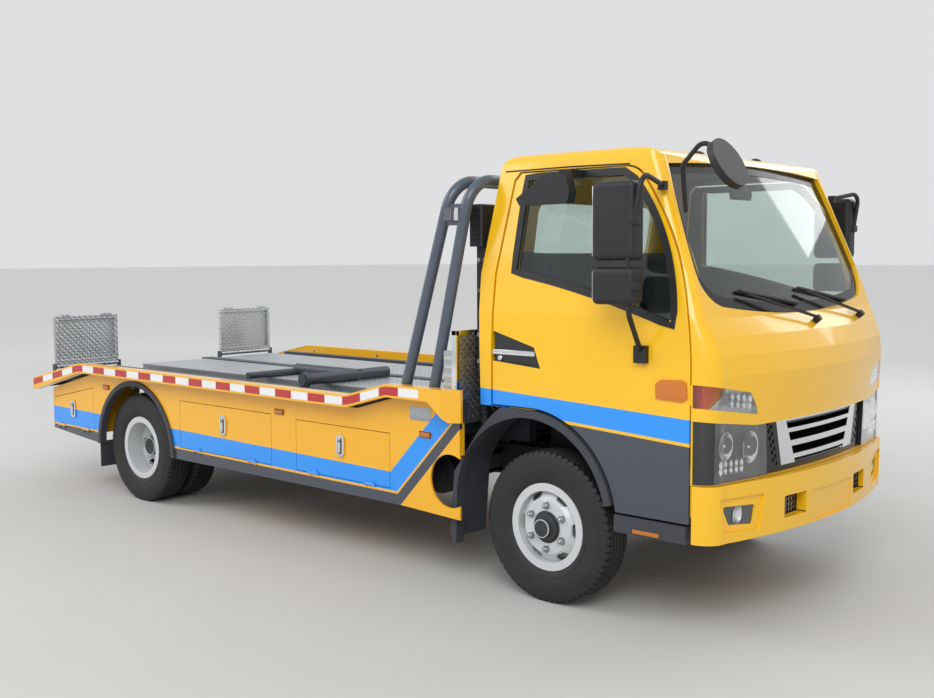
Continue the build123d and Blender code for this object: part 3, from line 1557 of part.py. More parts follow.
# Tilt cylinders: barrels on the chassis and rods up to the tilt frame
lift_run = (tilt_cylinder_head[0] - tilt_cylinder_foot[0], tilt_cylinder_head[1] - tilt_cylinder_foot[1])
lift_length = sqrt(lift_run[0] ** 2 + lift_run[1] ** 2)
lift_barrel_length = 640
lift_rod_radius = 18
lift_rod_length = 880


def lift_plane(side, offset):
    # A plane across a tilt cylinder, so far along it from its foot.
    return Plane(
        origin=(tilt_cylinder_foot[0], side * tilt_cylinder_y, tilt_cylinder_foot[1]),
        x_dir=(0, 1, 0),
        z_dir=(lift_run[0], 0, lift_run[1]),
    ).offset(offset)


with BuildPart() as barrels:
    for side_name, side in sides:
        with BuildSketch(lift_plane(side, 46)):
            Circle(34)
        extrude(amount=lift_barrel_length - 12)
        with BuildSketch(lift_plane(side, 28)):
            Circle(22)
        extrude(amount=20)
        cross_tube(*tilt_cylinder_foot, 36, side * (tilt_cylinder_y - 25), side * (tilt_cylinder_y + 25))
        cross_tube(
            *tilt_cylinder_foot,
            16.3,
            side * (tilt_cylinder_y - 40),
            side * (tilt_cylinder_y + 40),
            mode=Mode.SUBTRACT,
        )
        with BuildSketch(lift_plane(side, 90)):
            Circle(lift_rod_radius + 0.4)
        extrude(amount=lift_barrel_length, mode=Mode.SUBTRACT)
save(barrels, "tilt_barrels")
with BuildPart() as rods:
    for side_name, side in sides:
        with BuildSketch(lift_plane(side, lift_length - lift_rod_length)):
            Circle(lift_rod_radius)
        extrude(amount=lift_rod_length)
        cross_tube(*tilt_cylinder_head, 30, side * (tilt_cylinder_y - 25), side * (tilt_cylinder_y + 25))
        cross_tube(*tilt_cylinder_head, 14, side * (tilt_cylinder_y - 48), side * (tilt_cylinder_y + 48))
save(rods, "tilt_rods")

# Deck rails: yellow, stepped up behind the cab and falling to the tail
with BuildPart() as deck_rails:
    for side_name, side in sides:
        with BuildSketch(side_plane(side * deck_half_width)):
            with BuildLine():
                Polyline(
                    (deck_tail_x, rail_under_z - tail_drop - 24),
                    (tail_start_x, rail_under_z),
                    (step_x[0], rail_under_z),
                    (step_x[1], rail_under_z + deck_step_rise),
                    (deck_front_x - 190, rail_under_z + deck_step_rise),
                    (deck_front_x - 60, 880),
                    (deck_front_x, 880),
                    (deck_front_x, deck_rail_top_z + deck_step_rise),
                    (step_x[1], deck_rail_top_z + deck_step_rise),
                    (step_x[0], deck_rail_top_z),
                    (tail_start_x, deck_rail_top_z),
                    (deck_tail_x, deck_rail_top_z - tail_drop),
                    close=True,
                )
            make_face()
        extrude(amount=side * deck_rail_width)
    # Chamfered front corners
    with BuildPart(mode=Mode.PRIVATE) as corner_cut:
        with BuildSketch(Plane.XY.offset(800)):
            for side in (-1, 1):
                with BuildLine():
                    Polyline(
                        (deck_front_x - 98, side * (deck_half_width + 1)),
                        (deck_front_x + 1, side * (deck_half_width - 56)),
                        (deck_front_x + 1, side * (deck_half_width + 1)),
                        close=True,
                    )
                make_face()
        extrude(amount=300)
    add(corner_cut.part, mode=Mode.SUBTRACT)
save(deck_rails, "deck_rails")

# Deck frame: floor with raised edges, beams below and the long beams on top
floor_low_z = deck_floor_z - deck_floor_thickness
floor_tail_drop = 102
strip_z = deck_floor_z + 26
strip_step_z = rail_under_z + deck_step_rise + 1
strip_tail_z = deck_rail_top_z - tail_drop - 30
strip_thickness = 8
rail_inner_y = deck_half_width - deck_rail_width
main_beam_y = (tilt_rail_y[1] + 8, tilt_rail_y[1] + 68)
main_beam_low_z = 700
packer_top_z = tilt_rail_top_z + 12
cross_beam_low_z = 800
cross_beam_count = 9
ramp_x = deck_tail_x + 190
ramp_z = 905
ramp_y = (500, 1030)
tail_end_x = deck_tail_x + 8
beam_front_x = headboard_x - headboard_thickness - fit_gap
seam = fit_gap / 2
tail_open_x = tail_end_x + 22 + fit_gap  # the floor starts in front of the tail beam


def height_along(x, line):
    # The height at x on a line of (x, z) points.
    for low, high in zip(line, line[1:]):
        if x <= high[0]:
            break
    return low[1] + (high[1] - low[1]) * (x - low[0]) / (high[0] - low[0])


floor_line = (
    (tail_end_x, deck_floor_z - floor_tail_drop),
    (tail_start_x, deck_floor_z),
    (headboard_x, deck_floor_z),
)
strip_line = (
    (tail_end_x, strip_tail_z),
    (tail_start_x, strip_z),
    (step_x[0], strip_z),
    (step_x[1], strip_step_z),
    (headboard_x, strip_step_z),
)


def member(y, width, low_x, high_x, low_line, low_add, high_line, high_add):
    # A straight length of deck, from one height line to another, that reaches inward from y.
    with BuildSketch(side_plane(y)) as section:
        with BuildLine():
            Polyline(
                (low_x, height_along(low_x, low_line) + low_add),
                (high_x, height_along(high_x, low_line) + low_add),
                (high_x, height_along(high_x, high_line) + high_add),
                (low_x, height_along(low_x, high_line) + high_add),
                close=True,
            )
        make_face()
    return extrude(section.sketch, amount=width, dir=(0, -1, 0), mode=Mode.PRIVATE)


with BuildPart() as deck_frame:
    edge_y = flange_y - 4 - fit_gap
    # Floor, level and then falling to the tail
    for low_x, high_x in ((tail_open_x, tail_start_x - seam), (tail_start_x + seam, headboard_x)):
        add(member(edge_y, 2 * edge_y, low_x, high_x, floor_line, -deck_floor_thickness, floor_line, 0))
    for side_name, side in sides:
        # The riser at each edge of the floor, and the raised strip from it to the rail
        strip_width = rail_inner_y - flange_y - 4 - fit_gap
        for low, high in zip(strip_line, strip_line[1:]):
            low_x = max(low[0] + seam, tail_open_x)
            high_x = high[0] - seam
            add(
                member(
                    side * (flange_y + 4),
                    side * 8,
                    low_x,
                    high_x,
                    floor_line,
                    -deck_floor_thickness,
                    strip_line,
                    strip_thickness,
                )
            )
            add(
                member(
                    side * rail_inner_y,
                    side * strip_width,
                    low_x,
                    high_x,
                    strip_line,
                    0,
                    strip_line,
                    strip_thickness,
                )
            )
        # Main beam, with a packer on the tilt frame's rail beside it
        beam_rear_x = deck_tail_x + 300
        with BuildSketch(side_plane(side * main_beam_y[1])):
            with BuildLine():
                Polyline(
                    (beam_rear_x, main_beam_low_z),
                    (headboard_x, main_beam_low_z),
                    (headboard_x, floor_low_z - fit_gap),
                    (tail_start_x, floor_low_z - fit_gap),
                    (beam_rear_x, height_along(beam_rear_x, floor_line) - deck_floor_thickness - fit_gap),
                    close=True,
                )
            make_face()
        extrude(amount=side * (main_beam_y[1] - main_beam_y[0]))
        mirrored_bar(
            side,
            (beam_rear_x, tilt_rail_y[0], tilt_rail_top_z + fit_gap),
            (headboard_x, main_beam_y[0] - fit_gap, packer_top_z),
        )
        mirrored_bar(side, (tail_start_x, 800, deck_floor_z + fit_gap), (beam_front_x, 860, deck_floor_z + 58))
    bar((tail_start_x, -44, deck_floor_z + fit_gap), (beam_front_x, 44, deck_floor_z + 66))
    # Cross beams: between the main beams and out to each side
    for i in range(cross_beam_count):
        x = tail_start_x + 20 + i * (headboard_x - 140 - tail_start_x) / (cross_beam_count - 1)
        centre_y = main_beam_y[0] - fit_gap
        bar((x, -centre_y, packer_top_z + fit_gap), (x + 50, centre_y, floor_low_z - fit_gap))
        for side_name, side in sides:
            mirrored_bar(
                side,
                (x, main_beam_y[1] + fit_gap, cross_beam_low_z),
                (x + 50, flange_y - 4, floor_low_z - fit_gap),
            )
    # Tail beam
    bar((tail_end_x, -rail_inner_y, 740), (tail_end_x + 22, rail_inner_y, 796))
    # Lugs and shaft that carry each ramp
    for side_name, side in sides:
        for lug_y, base_line, base_add in (
            (ramp_y[0] - 4, floor_line, 0),
            (ramp_y[1] + 16, strip_line, strip_thickness),
        ):
            add(
                member(
                    side * lug_y,
                    side * 12,
                    ramp_x - 22,
                    ramp_x + 22,
                    base_line,
                    base_add + fit_gap,
                    ((ramp_x - 22, ramp_z + 20), (ramp_x + 22, ramp_z + 20)),
                    0,
                )
            )
        cross_tube(ramp_x, ramp_z, 10, side * (ramp_y[0] - 16), side * (ramp_y[1] + 16))
    # The slide cylinder's rod hangs from the deck on a lug
    slide_lug_x = slide_barrel_x[0] - 70
    slide_rod_x = (slide_lug_x + 20 + fit_gap, slide_barrel_x[1] - 40)
    with Locations(Location((sum(slide_rod_x) / 2, 0, slide_z), (0, 90, 0))):
        Cylinder(slide_rod_radius, slide_rod_x[1] - slide_rod_x[0])
    bar((slide_lug_x - 20, -24, slide_z - 20), (slide_lug_x + 20, 24, floor_low_z - fit_gap))
save(deck_frame, "deck_frame")

# Tread plates: two shallow trays of chequered aluminium along the deck
tread_y = (60, 620)
tread_top_z = deck_floor_z + 60
with BuildPart() as tread_plates:
    for side_name, side in sides:
        mirrored_bar(
            side,
            (tail_start_x + 60, tread_y[0], deck_floor_z + fit_gap),
            (headboard_x - 290, tread_y[1], tread_top_z),
        )
        mirrored_bar(
            side,
            (tail_start_x + 40, tread_y[0] + 5, deck_floor_z - 10),
            (headboard_x - 270, tread_y[1] - 5, tread_top_z - 5),
            mode=Mode.SUBTRACT,
        )
save(tread_plates, "tread_plates")

# Ramps that stand at the tail
for side_name, side in sides:
    with BuildPart() as ramp:
        mirrored_bar(side, (ramp_x - 14, ramp_y[0], ramp_z + 12), (ramp_x + 14, ramp_y[1], 1290))
        mirrored_bar(
            side,
            (ramp_x - 6, ramp_y[0] + 26, ramp_z + 40),
            (ramp_x + 20, ramp_y[1] - 26, 1264),
            mode=Mode.SUBTRACT,
        )
        mirrored_bar(side, (ramp_x - 18, ramp_y[0], ramp_z + 20), (ramp_x - 13, ramp_y[1], 1290))
        cross_tube(ramp_x, ramp_z, 18, side * ramp_y[0], side * ramp_y[1])
        cross_tube(ramp_x, ramp_z, 10.3, side * (ramp_y[0] - 2), side * (ramp_y[1] + 2), mode=Mode.SUBTRACT)
        for pad_y in (ramp_y[0] + 90, ramp_y[1] - 90):
            mirrored_bar(side, (ramp_x - 20, pad_y - 35, 1288), (ramp_x + 20, pad_y + 35, 1303))
    save(ramp, f"ramp_{side_name}")

# Cab guard: two hoops over the deck's front, tied by plates, and a headboard below
hoop_y = 1018
hoop_radius = 30
hoop_bend = 150
strip_top_z = rail_under_z + deck_step_rise + 9
hoop_rows = ((front_axle_x - 700, front_axle_x - 420, 2130), (front_axle_x - 915, front_axle_x - 545, 2130))
with BuildPart() as cab_guard:
    for foot_x, top_x, top_z in hoop_rows:
        path_points = (
            (foot_x, -hoop_y, strip_top_z),
            (top_x, -hoop_y, top_z),
            (top_x, hoop_y, top_z),
            (foot_x, hoop_y, strip_top_z),
        )
        with BuildLine() as hoop_path:
            FilletPolyline(*path_points, radius=hoop_bend)
        with BuildSketch(Plane(origin=path_points[0], z_dir=hoop_path.line % 0)):
            Circle(hoop_radius)
        sweep()
    with BuildPart(mode=Mode.PRIVATE) as trim:
        bar((front_axle_x - 1200, -1200, strip_top_z - 80), (front_axle_x, 1200, strip_top_z))
    add(trim.part, mode=Mode.SUBTRACT)
    for side_name, side in sides:
        mirrored_bar(
            side,
            (front_axle_x - 618, hoop_y - 8, 1900),
            (front_axle_x - 478, hoop_y + 8, 2010),
        )
save(cab_guard, "cab_guard")
with BuildPart() as headboard:
    back_x = headboard_x - headboard_thickness
    bar((back_x, -970, deck_floor_z + fit_gap), (headboard_x, 970, strip_top_z))
    bar((back_x, -1050, strip_top_z + fit_gap), (headboard_x, 1050, 1356))
    for side_name, side in sides:
        mirrored_bar(side, (back_x - 60, 1038, strip_top_z + fit_gap), (back_x - fit_gap, 1050, 1250))
save(headboard, "headboard")
with BuildPart() as work_lamps:
    for side_name, side in sides:
        mirrored_bar(
            side,
            (front_axle_x - 562, hoop_y + 8.3, 1925),
            (front_axle_x - 505, hoop_y + 60, 1990),
        )
save(work_lamps, "work_lamps")

# Winch on the deck behind the headboard
winch_x = headboard_x - 150
winch_z = deck_floor_z + 150
with BuildPart() as winch:
    cross_tube(winch_x, winch_z, 55, -190, 190)
    for y in (-190, 176):
        cross_tube(winch_x, winch_z, 88, y, y + 14)
    cross_tube(winch_x, winch_z, 62, 190, 340)
    cross_tube(winch_x, winch_z, 70, -300, -190)
    for y in (-230, 230):
        bar((winch_x - 80, y - 12, deck_floor_z + 67), (winch_x + 80, y + 12, winch_z))
    bar((winch_x - 80, -242, deck_floor_z + 66 + fit_gap), (winch_x + 80, 242, deck_floor_z + 76))
save(winch, "winch")

# Wheel lift stowed on the deck: cross bar, boom tube and two arms
with BuildPart() as wheel_lift:
    lift_z = tread_top_z + 36
    cross_tube(front_axle_x - 2050, lift_z, 35, -800, -60)
    cross_tube(front_axle_x - 2640, lift_z - 14, 22, -774, -330)
    with Locations(Location((front_axle_x - 2345, -330, lift_z), (0, 90, 0))):
        Cylinder(36, 640)
    cross_tube(front_axle_x - 2050, lift_z, 48, -790, -760)
save(wheel_lift, "stowed_wheel_lift")
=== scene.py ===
# Looks of a flatbed tow truck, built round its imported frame
import math

import bmesh
import bpy
from mathutils import Matrix, Vector
from mathutils.bvhtree import BVHTree


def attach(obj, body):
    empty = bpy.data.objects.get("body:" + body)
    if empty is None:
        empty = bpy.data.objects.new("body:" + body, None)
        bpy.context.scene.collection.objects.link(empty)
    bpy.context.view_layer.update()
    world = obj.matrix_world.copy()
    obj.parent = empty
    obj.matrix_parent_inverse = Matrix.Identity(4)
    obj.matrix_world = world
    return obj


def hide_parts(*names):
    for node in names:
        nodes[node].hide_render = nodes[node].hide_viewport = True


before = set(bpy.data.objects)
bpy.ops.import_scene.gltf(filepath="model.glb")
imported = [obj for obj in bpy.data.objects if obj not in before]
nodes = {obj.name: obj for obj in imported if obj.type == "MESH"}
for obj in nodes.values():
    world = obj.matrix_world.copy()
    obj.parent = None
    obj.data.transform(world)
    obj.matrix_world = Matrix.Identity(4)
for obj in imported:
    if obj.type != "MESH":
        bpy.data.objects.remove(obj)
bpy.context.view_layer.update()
frontAxleX = 1.920  # everything measured from the photograph starts here
rearAxleX = -1.730
sides = (("right", -1), ("left", 1))
print("frame loaded,", len(nodes), "nodes")


# Shared helpers
def linearColour(hexText):
    channels = [int(hexText[i:i + 2], 16) / 255 for i in (1, 3, 5)]
    return tuple(c / 12.92 if c <= 0.04045 else ((c + 0.055) / 1.055) ** 2.4 for c in channels) + (1.0,)


def addNode(tree, kind, links=None, out=0, **settings):
    # One node with its settings and what feeds it, plain values too; gives back the output asked for.
    node = tree.nodes.new("ShaderNode" + kind)
    for name, value in settings.items():
        setattr(node, name, value)
    for name, value in (links or {}).items():
        if isinstance(value, bpy.types.NodeSocket):
            tree.links.new(value, node.inputs[name])
        else:
            node.inputs[name].default_value = value
    return node.outputs[out]


def newMaterial(name, noises=(), **shaderValues):
    # A material with its shader's own sockets set, the place on the object for its patterns, and a
    # noise for each (size in millimetres, detail).
    material = bpy.data.materials.new(name)
    material.use_nodes = True
    tree = material.node_tree
    shader = tree.nodes["Principled BSDF"]
    for socket, value in shaderValues.items():
        shader.inputs[socket.replace("_", " ")].default_value = value
    place = addNode(tree, "TexCoord", out="Object")
    made = [
        addNode(tree, "TexNoise", {"Vector": place, "Scale": 1000 / sizeMm, "Detail": detail})
        for sizeMm, detail in noises
    ]
    return material, tree, shader, place, *made


def layOver(tree, under, overHex, pattern, start, end, most=1.0):
    # Lays a colour over another as a pattern's value runs from start to end.
    share = addNode(tree, "MapRange", {"Value": pattern, "From Min": start, "From Max": end, "To Max": most})
    return addNode(tree, "Mix", {0: share, 6: under, 7: linearColour(overHex)}, out=2, data_type="RGBA")


def finishSurface(tree, shader, colour, tones=None, spread=None, relief=None):
    # Tones and the spread of roughness are (pattern, low, high); relief is (pattern, strength, depth).
    if tones:
        shade = addNode(tree, "MapRange", {"Value": tones[0], "To Min": tones[1], "To Max": tones[2]})
        colour = addNode(tree, "HueSaturation", {"Value": shade, "Color": colour})
    tree.links.new(colour, shader.inputs["Base Color"])
    if spread:
        rough = addNode(tree, "MapRange", {"Value": spread[0], "To Min": spread[1], "To Max": spread[2]})
        tree.links.new(rough, shader.inputs["Roughness"])
    if relief:
        bump = addNode(tree, "Bump", {"Height": relief[0], "Strength": relief[1], "Distance": relief[2]})
        tree.links.new(bump, shader.inputs["Normal"])


def zoneMask(tree, place, planes):
    # 1 where a*x + b*y + c*z + d is above zero for every plane, on the object's coordinates in metres.
    mask = None
    for a, b, c, d in planes:
        dot = addNode(tree, "VectorMath", {0: place, 1: (a, b, c)}, out="Value", operation="DOT_PRODUCT")
        inside = addNode(tree, "Math", {0: dot, 1: -d}, operation="GREATER_THAN")
        if mask is None:
            mask = inside
        else:
            mask = addNode(tree, "Math", {0: mask, 1: inside}, operation="MULTIPLY")
    return mask


def paintZones(tree, place, base, zones):
    # A base colour with (colour, planes) zones over it, each over what came before.
    colour = linearColour(base)
    for zoneHex, planes in zones:
        layers = {0: zoneMask(tree, place, planes), 6: colour, 7: linearColour(zoneHex)}
        colour = addNode(tree, "Mix", layers, out=2, data_type="RGBA")
    return colour


def below(x0, z0, x1, z1):
    # The half space under a line on the truck's side, through two points from the front axle.
    slope = (z1 - z0) / (x1 - x0)
    return (slope, 0, -1, z0 - slope * (x0 + frontAxleX))


def above(x0, z0, x1, z1):
    return tuple(-value for value in below(x0, z0, x1, z1))


def insideOf(points, *others):
    # The half spaces in a convex outline on the truck's side, counter-clockwise with x to the right.
    planes = list(others)
    for (x0, z0), (x1, z1) in zip(points, points[1:] + points[:1]):
        run, rise = x1 - x0, z1 - z0
        planes.append((-rise, 0, run, rise * (x0 + frontAxleX) - run * z0))
    return planes


def dress(material, *stems):
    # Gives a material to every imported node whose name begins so.
    for name, node in nodes.items():
        if name.startswith(stems):
            if not node.data.materials:
                node.data.materials.append(material)
            for slot in node.material_slots:
                slot.material = material


# Camera, light and floor
cameraSettings = {
    "place": (frontAxleX + 3.388, -5.281, 1.737),  # recovered from the photograph
    "yaw": 132.02,
    "pitch": -4.724,
    "roll": -0.259,
    "focalPixels": 1114.2,
    "imageWidth": 934,
    "sensor": 36,
}


def makeCamera(settings):
    yaw, pitch, roll = (math.radians(settings[name]) for name in ("yaw", "pitch", "roll"))
    forward = Vector((math.cos(pitch) * math.cos(yaw), math.cos(pitch) * math.sin(yaw), math.sin(pitch)))
    level = Vector((math.sin(yaw), -math.cos(yaw), 0))
    lifted = level.cross(forward)
    right = level * math.cos(roll) + lifted * math.sin(roll)
    up = lifted * math.cos(roll) - level * math.sin(roll)
    data = bpy.data.cameras.new("viewCamera")
    data.sensor_width = settings["sensor"]
    data.lens = settings["focalPixels"] * settings["sensor"] / settings["imageWidth"]
    data.clip_end = 400
    camera = bpy.data.objects.new("viewCamera", data)
    turn = Matrix((right, up, -forward)).transposed().to_4x4()
    camera.matrix_world = Matrix.Translation(settings["place"]) @ turn
    bpy.context.scene.collection.objects.link(camera)
    bpy.context.scene.camera = camera


lightSettings = {
    "skyStrength": 0.88,  # what falls on the truck from all round
    "backdrop": "#DFE0E2",
    "softboxes": (
        # place, aimed at, size, power in watts
        ((7.0, -8.5, 7.5), (0.5, 0.0, 0.6), 6.0, 620),
        ((-6.5, -6.0, 6.5), (-1.0, 0.0, 0.6), 6.0, 340),
        ((2.0, 8.5, 7.0), (0.0, 0.0, 0.8), 6.0, 240),
    ),
    "floorNear": "#C6C6C3",
    # The far colour and the span below are painted light: the floor is painted paler further off, where the
    # lamps' light falls off
    "floorFarPaintedLight": "#F4F4F2",
    "paintedLightSpan": (3.0, 15.0),  # metres from the middle between which the floor turns paler
    "floorHalf": 190.0,
}


def makeStudio(settings):
    world = bpy.data.worlds.new("studioWorld")
    bpy.context.scene.world = world
    world.use_nodes = True
    tree = world.node_tree
    background = tree.nodes["Background"]
    rays = addNode(tree, "LightPath").node.outputs
    seen = rays["Is Camera Ray"]
    for kind in ("Is Glossy Ray", "Is Transmission Ray"):
        seen = addNode(tree, "Math", {0: seen, 1: rays[kind]}, operation="MAXIMUM")
    # What is seen directly has the backdrop's full strength
    strength = addNode(tree, "MapRange", {"Value": seen, "To Min": settings["skyStrength"], "To Max": 1.0})
    background.inputs["Color"].default_value = linearColour(settings["backdrop"])
    tree.links.new(strength, background.inputs["Strength"])
    for index, (place, target, size, power) in enumerate(settings["softboxes"]):
        data = bpy.data.lights.new(f"softbox{index}", "AREA")
        data.shape = "SQUARE"
        data.size = size
        data.energy = power
        lamp = bpy.data.objects.new(f"softbox{index}", data)
        lamp.location = place
        lamp.rotation_euler = (Vector(target) - Vector(place)).to_track_quat("-Z", "Y").to_euler()
        bpy.context.scene.collection.objects.link(lamp)
    half = settings["floorHalf"]
    mesh = bpy.data.meshes.new("studioFloor")
    corners = [(-half, -half, 0), (half, -half, 0), (half, half, 0), (-half, half, 0)]
    mesh.from_pydata(corners, [], [(0, 1, 2, 3)])
    floor = bpy.data.objects.new("studioFloor", mesh)
    bpy.context.scene.collection.objects.link(floor)
    # Sealed concrete, painted pale, with painted light that makes it paler further off where the lamps' light
    # falls off: soft blotches half a metre across
    material, tree, shader, place, blotches = newMaterial("paintedConcrete", ((500, 4),), Roughness=0.85)
    away = addNode(tree, "VectorMath", {0: place}, out="Value", operation="LENGTH")
    floorWithPaintedLight = layOver(tree, linearColour(settings["floorNear"]), settings["floorFarPaintedLight"], away, *settings["paintedLightSpan"])
    finishSurface(tree, shader, floorWithPaintedLight, tones=(blotches, 0.97, 1.03))
    mesh.materials.append(material)


scene = bpy.context.scene
scene.view_settings.view_transform = "Standard"
makeCamera(cameraSettings)
makeStudio(lightSettings)
print("camera, lamps and floor are in place")


# Materials: each pattern's scale is one metre over its real size in millimetres
def enamelledSheet(name, base, zones=(), roughness=0.28, coat=0.5, peel=0.0006):
    # Stoved enamel on pressed steel: even colour, a sharp clear coat and a faint orange peel.
    material, tree, shader, place, cloud, ripple, grime = newMaterial(
        name, ((714.3, 3), (4.167, 1), (55.56, 6)),
        Roughness=roughness, Coat_Weight=coat, Coat_Roughness=0.06, IOR=1.5,
    )
    colour = paintZones(tree, place, base, zones)
    finishSurface(tree, shader, colour, tones=(cloud, 0.965, 1.02), relief=(ripple, 0.25, peel))
    # Road dust settles below 0.9 m and dulls the coat there
    height = addNode(tree, "SeparateXYZ", {0: place}, out="Z")
    film = addNode(tree, "MapRange", {"Value": height, "From Min": 0.9, "From Max": 0.3, "To Max": 0.12})
    dulled = addNode(tree, "Math", {0: film, 1: grime}, operation="MULTIPLY")
    rough = addNode(tree, "Math", {0: dulled, 1: roughness}, operation="ADD")
    tree.links.new(rough, shader.inputs["Roughness"])
    return material


def mouldedPlastic(name, base, roughness=0.55, grainMm=1.6, grainDepth=0.00012, coat=0.0):
    # Moulded polypropylene or ABS: fine spark-eroded grain that scatters the light.
    material, tree, shader, place, cloud = newMaterial(
        name, ((166.7, 4),), IOR=1.49, Coat_Weight=coat, Coat_Roughness=0.1
    )
    grain = addNode(tree, "TexVoronoi", {"Vector": place, "Scale": 1000 / grainMm})
    finishSurface(
        tree, shader, linearColour(base), tones=(cloud, 0.86, 1.12),
        spread=(cloud, roughness - 0.06, roughness + 0.08), relief=(grain, 0.35, grainDepth),
    )
    return material


def bareMetal(name, base, roughness=0.3, brushMm=8.0, stretch=(1, 12, 12), dirt=0.15, dirtHex="#5A5853"):
    # Worked metal: lines from rolling or grinding, brushMm long and a twelfth of that across, which
    # draw out its reflections, and a little dirt in patches.
    material, tree, shader, place, cloud = newMaterial(name, ((111.1, 5),), Metallic=1.0)
    squeezed = addNode(tree, "Mapping", {"Vector": place, "Scale": stretch})
    lines = addNode(tree, "TexNoise", {"Vector": squeezed, "Scale": 1000 / brushMm, "Detail": 3.0})
    colour = layOver(tree, linearColour(base), dirtHex, cloud, 0.45, 0.75, dirt)
    spread = (lines, roughness - 0.08, roughness + 0.12)
    finishSurface(tree, shader, colour, spread=spread, relief=(lines, 0.12, 0.0002))
    return material


chequerSettings = {
    "pitchMm": 32.0,
    "barHeight": 0.0016,
    "barHalves": (("X", 0.42), ("Y", 0.11)),  # half length and half width of a bar, in pitches
    "barEdge": 0.1,
    # The bars' paler colour is a painted highlight
    "barHighlightHex": "#E6E8E9",
    "stainHex": "#7C7F80",
}


def chequerPlate(name, base, settings, upright=False):
    # Rolled aluminium five-bar plate: raised dashes in crossing pairs that catch the light.
    material, tree, shader, place = newMaterial(name, Metallic=1.0)
    if upright:
        place = addNode(tree, "Mapping", {"Vector": place, "Rotation": (0, math.radians(90), 0)})
    pitches = (1000 / settings["pitchMm"],) * 3
    masks = []
    for turn, shift in ((45, 0.0), (-45, 0.5)):
        layout = {"Location": (shift, shift, 0), "Rotation": (0, 0, math.radians(turn)), "Scale": pitches}
        turned = addNode(tree, "Mapping", {"Vector": place, **layout})
        cell = addNode(tree, "VectorMath", {0: turned}, operation="FRACTION")
        spans = []
        for axis, half in settings["barHalves"]:
            along = addNode(tree, "SeparateXYZ", {0: cell}, out=axis)
            centred = addNode(tree, "Math", {0: along, 1: 0.5}, operation="SUBTRACT")
            size = addNode(tree, "Math", {0: centred}, operation="ABSOLUTE")
            ramp = {"Value": size, "From Min": half, "From Max": half - settings["barEdge"]}
            spans.append(addNode(tree, "MapRange", ramp))
        masks.append(addNode(tree, "Math", dict(enumerate(spans)), operation="MULTIPLY"))
    bars = addNode(tree, "Math", dict(enumerate(masks)), operation="MAXIMUM")
    cloud = addNode(tree, "TexNoise", {"Vector": place, "Scale": 1000 / 200, "Detail": 6.0})
    # The raised bars are painted paler than the plate: a painted highlight where they catch the light
    colour = layOver(tree, linearColour(base), settings["barHighlightHex"], bars, 0.0, 1.0)
    colour = layOver(tree, colour, settings["stainHex"], cloud, 0.5, 0.8, 0.3)
    relief = (bars, 0.9, settings["barHeight"])
    finishSurface(tree, shader, colour, spread=(bars, 0.42, 0.24), relief=relief)
    return material


def platedPlastic(name, bright, dark, darkZones, roughness=0.12):
    # Chromium plated plastic whose wings are left in black gloss: bright bars against a dark mouth.
    material, tree, shader, place, cloud, ripple = newMaterial(name, ((33.33, 4), (5, 2)))
    mask = 0.0
    for planes in darkZones:
        mask = addNode(tree, "Math", {0: mask, 1: zoneMask(tree, place, planes)}, operation="MAXIMUM")
    plated = addNode(tree, "Math", {0: 1.0, 1: mask}, operation="SUBTRACT")
    tree.links.new(plated, shader.inputs["Metallic"])
    colour = layOver(tree, linearColour(bright), dark, mask, 0.0, 1.0)
    spread = (cloud, roughness - 0.04, roughness + 0.08)
    finishSurface(tree, shader, colour, spread=spread, relief=(ripple, 0.15, 0.0002))
    return material


def tyreRubber(name, base="#1C1D1E", bloomHex="#332F2B"):
    # Carbon black rubber: matt, and faintly brown where it has bloomed.
    material, tree, shader, _, cloud, pores = newMaterial(name, ((111.1, 6), (1.111, 2)), IOR=1.52)
    colour = layOver(tree, linearColour(base), bloomHex, cloud, 0.4, 0.7, 0.45)
    finishSurface(tree, shader, colour, spread=(cloud, 0.55, 0.8), relief=(pores, 0.3, 0.0003))
    return material


def floatGlass(name, tint="#DDE9E4", roughness=0.015):
    # Laminated float glass: faintly green, with the sky in it.
    material, tree, shader, _, smear = newMaterial(
        name, ((250, 4),), Transmission_Weight=1.0, IOR=1.45, Specular_IOR_Level=0.9
    )
    spread = (smear, roughness, roughness + 0.02)
    finishSurface(tree, shader, linearColour(tint), tones=(smear, 0.95, 1.0), spread=spread)
    return material


def lensPlastic(name, tint, roughness=0.04, clear=0.8, ribMm=17.76, fluting=0.2, zones=()):
    # Polycarbonate lens: clear or coloured, fluted inside so that it breaks up what is behind.
    material, tree, shader, place = newMaterial(name, Transmission_Weight=clear, IOR=1.58, Coat_Weight=0.6)
    # The wave texture turns 20 radians for each unit of its scale
    ribs = {"Vector": place, "Scale": 2 * math.pi / 20 * 1000 / ribMm}
    flutes = addNode(tree, "TexWave", ribs, out="Fac", wave_profile="SIN", bands_direction="Z")
    # The colour is darker where the flutes are low: painted shade in the flutes
    finishSurface(
        tree, shader, paintZones(tree, place, tint, zones), tones=(flutes, 0.93, 1.0),
        spread=(flutes, roughness, roughness + 0.05), relief=(flutes, fluting, 0.001),
    )
    return material


def wovenCloth(name, base, weaveShadeHex="#34363B", threadMm=3.0):
    # Woven polyester seat cloth, drawn a little coarse so that it shows: matt, with a soft sheen.
    material, tree, shader, place, cloud = newMaterial(
        name, ((71.43, 3),), Roughness=0.9, Sheen_Weight=0.25
    )
    # The weave's low cells are painted dark: painted shade between the threads, while the light cells are
    # raised
    threadAndShadeColours = {"Color1": linearColour(base), "Color2": linearColour(weaveShadeHex)}
    weave = addNode(tree, "TexChecker", {"Vector": place, "Scale": 1000 / threadMm, **threadAndShadeColours})
    relief = (weave.node.outputs["Fac"], 0.4, 0.0006)
    finishSurface(tree, shader, weave, tones=(cloud, 0.85, 1.1), relief=relief)
    return material


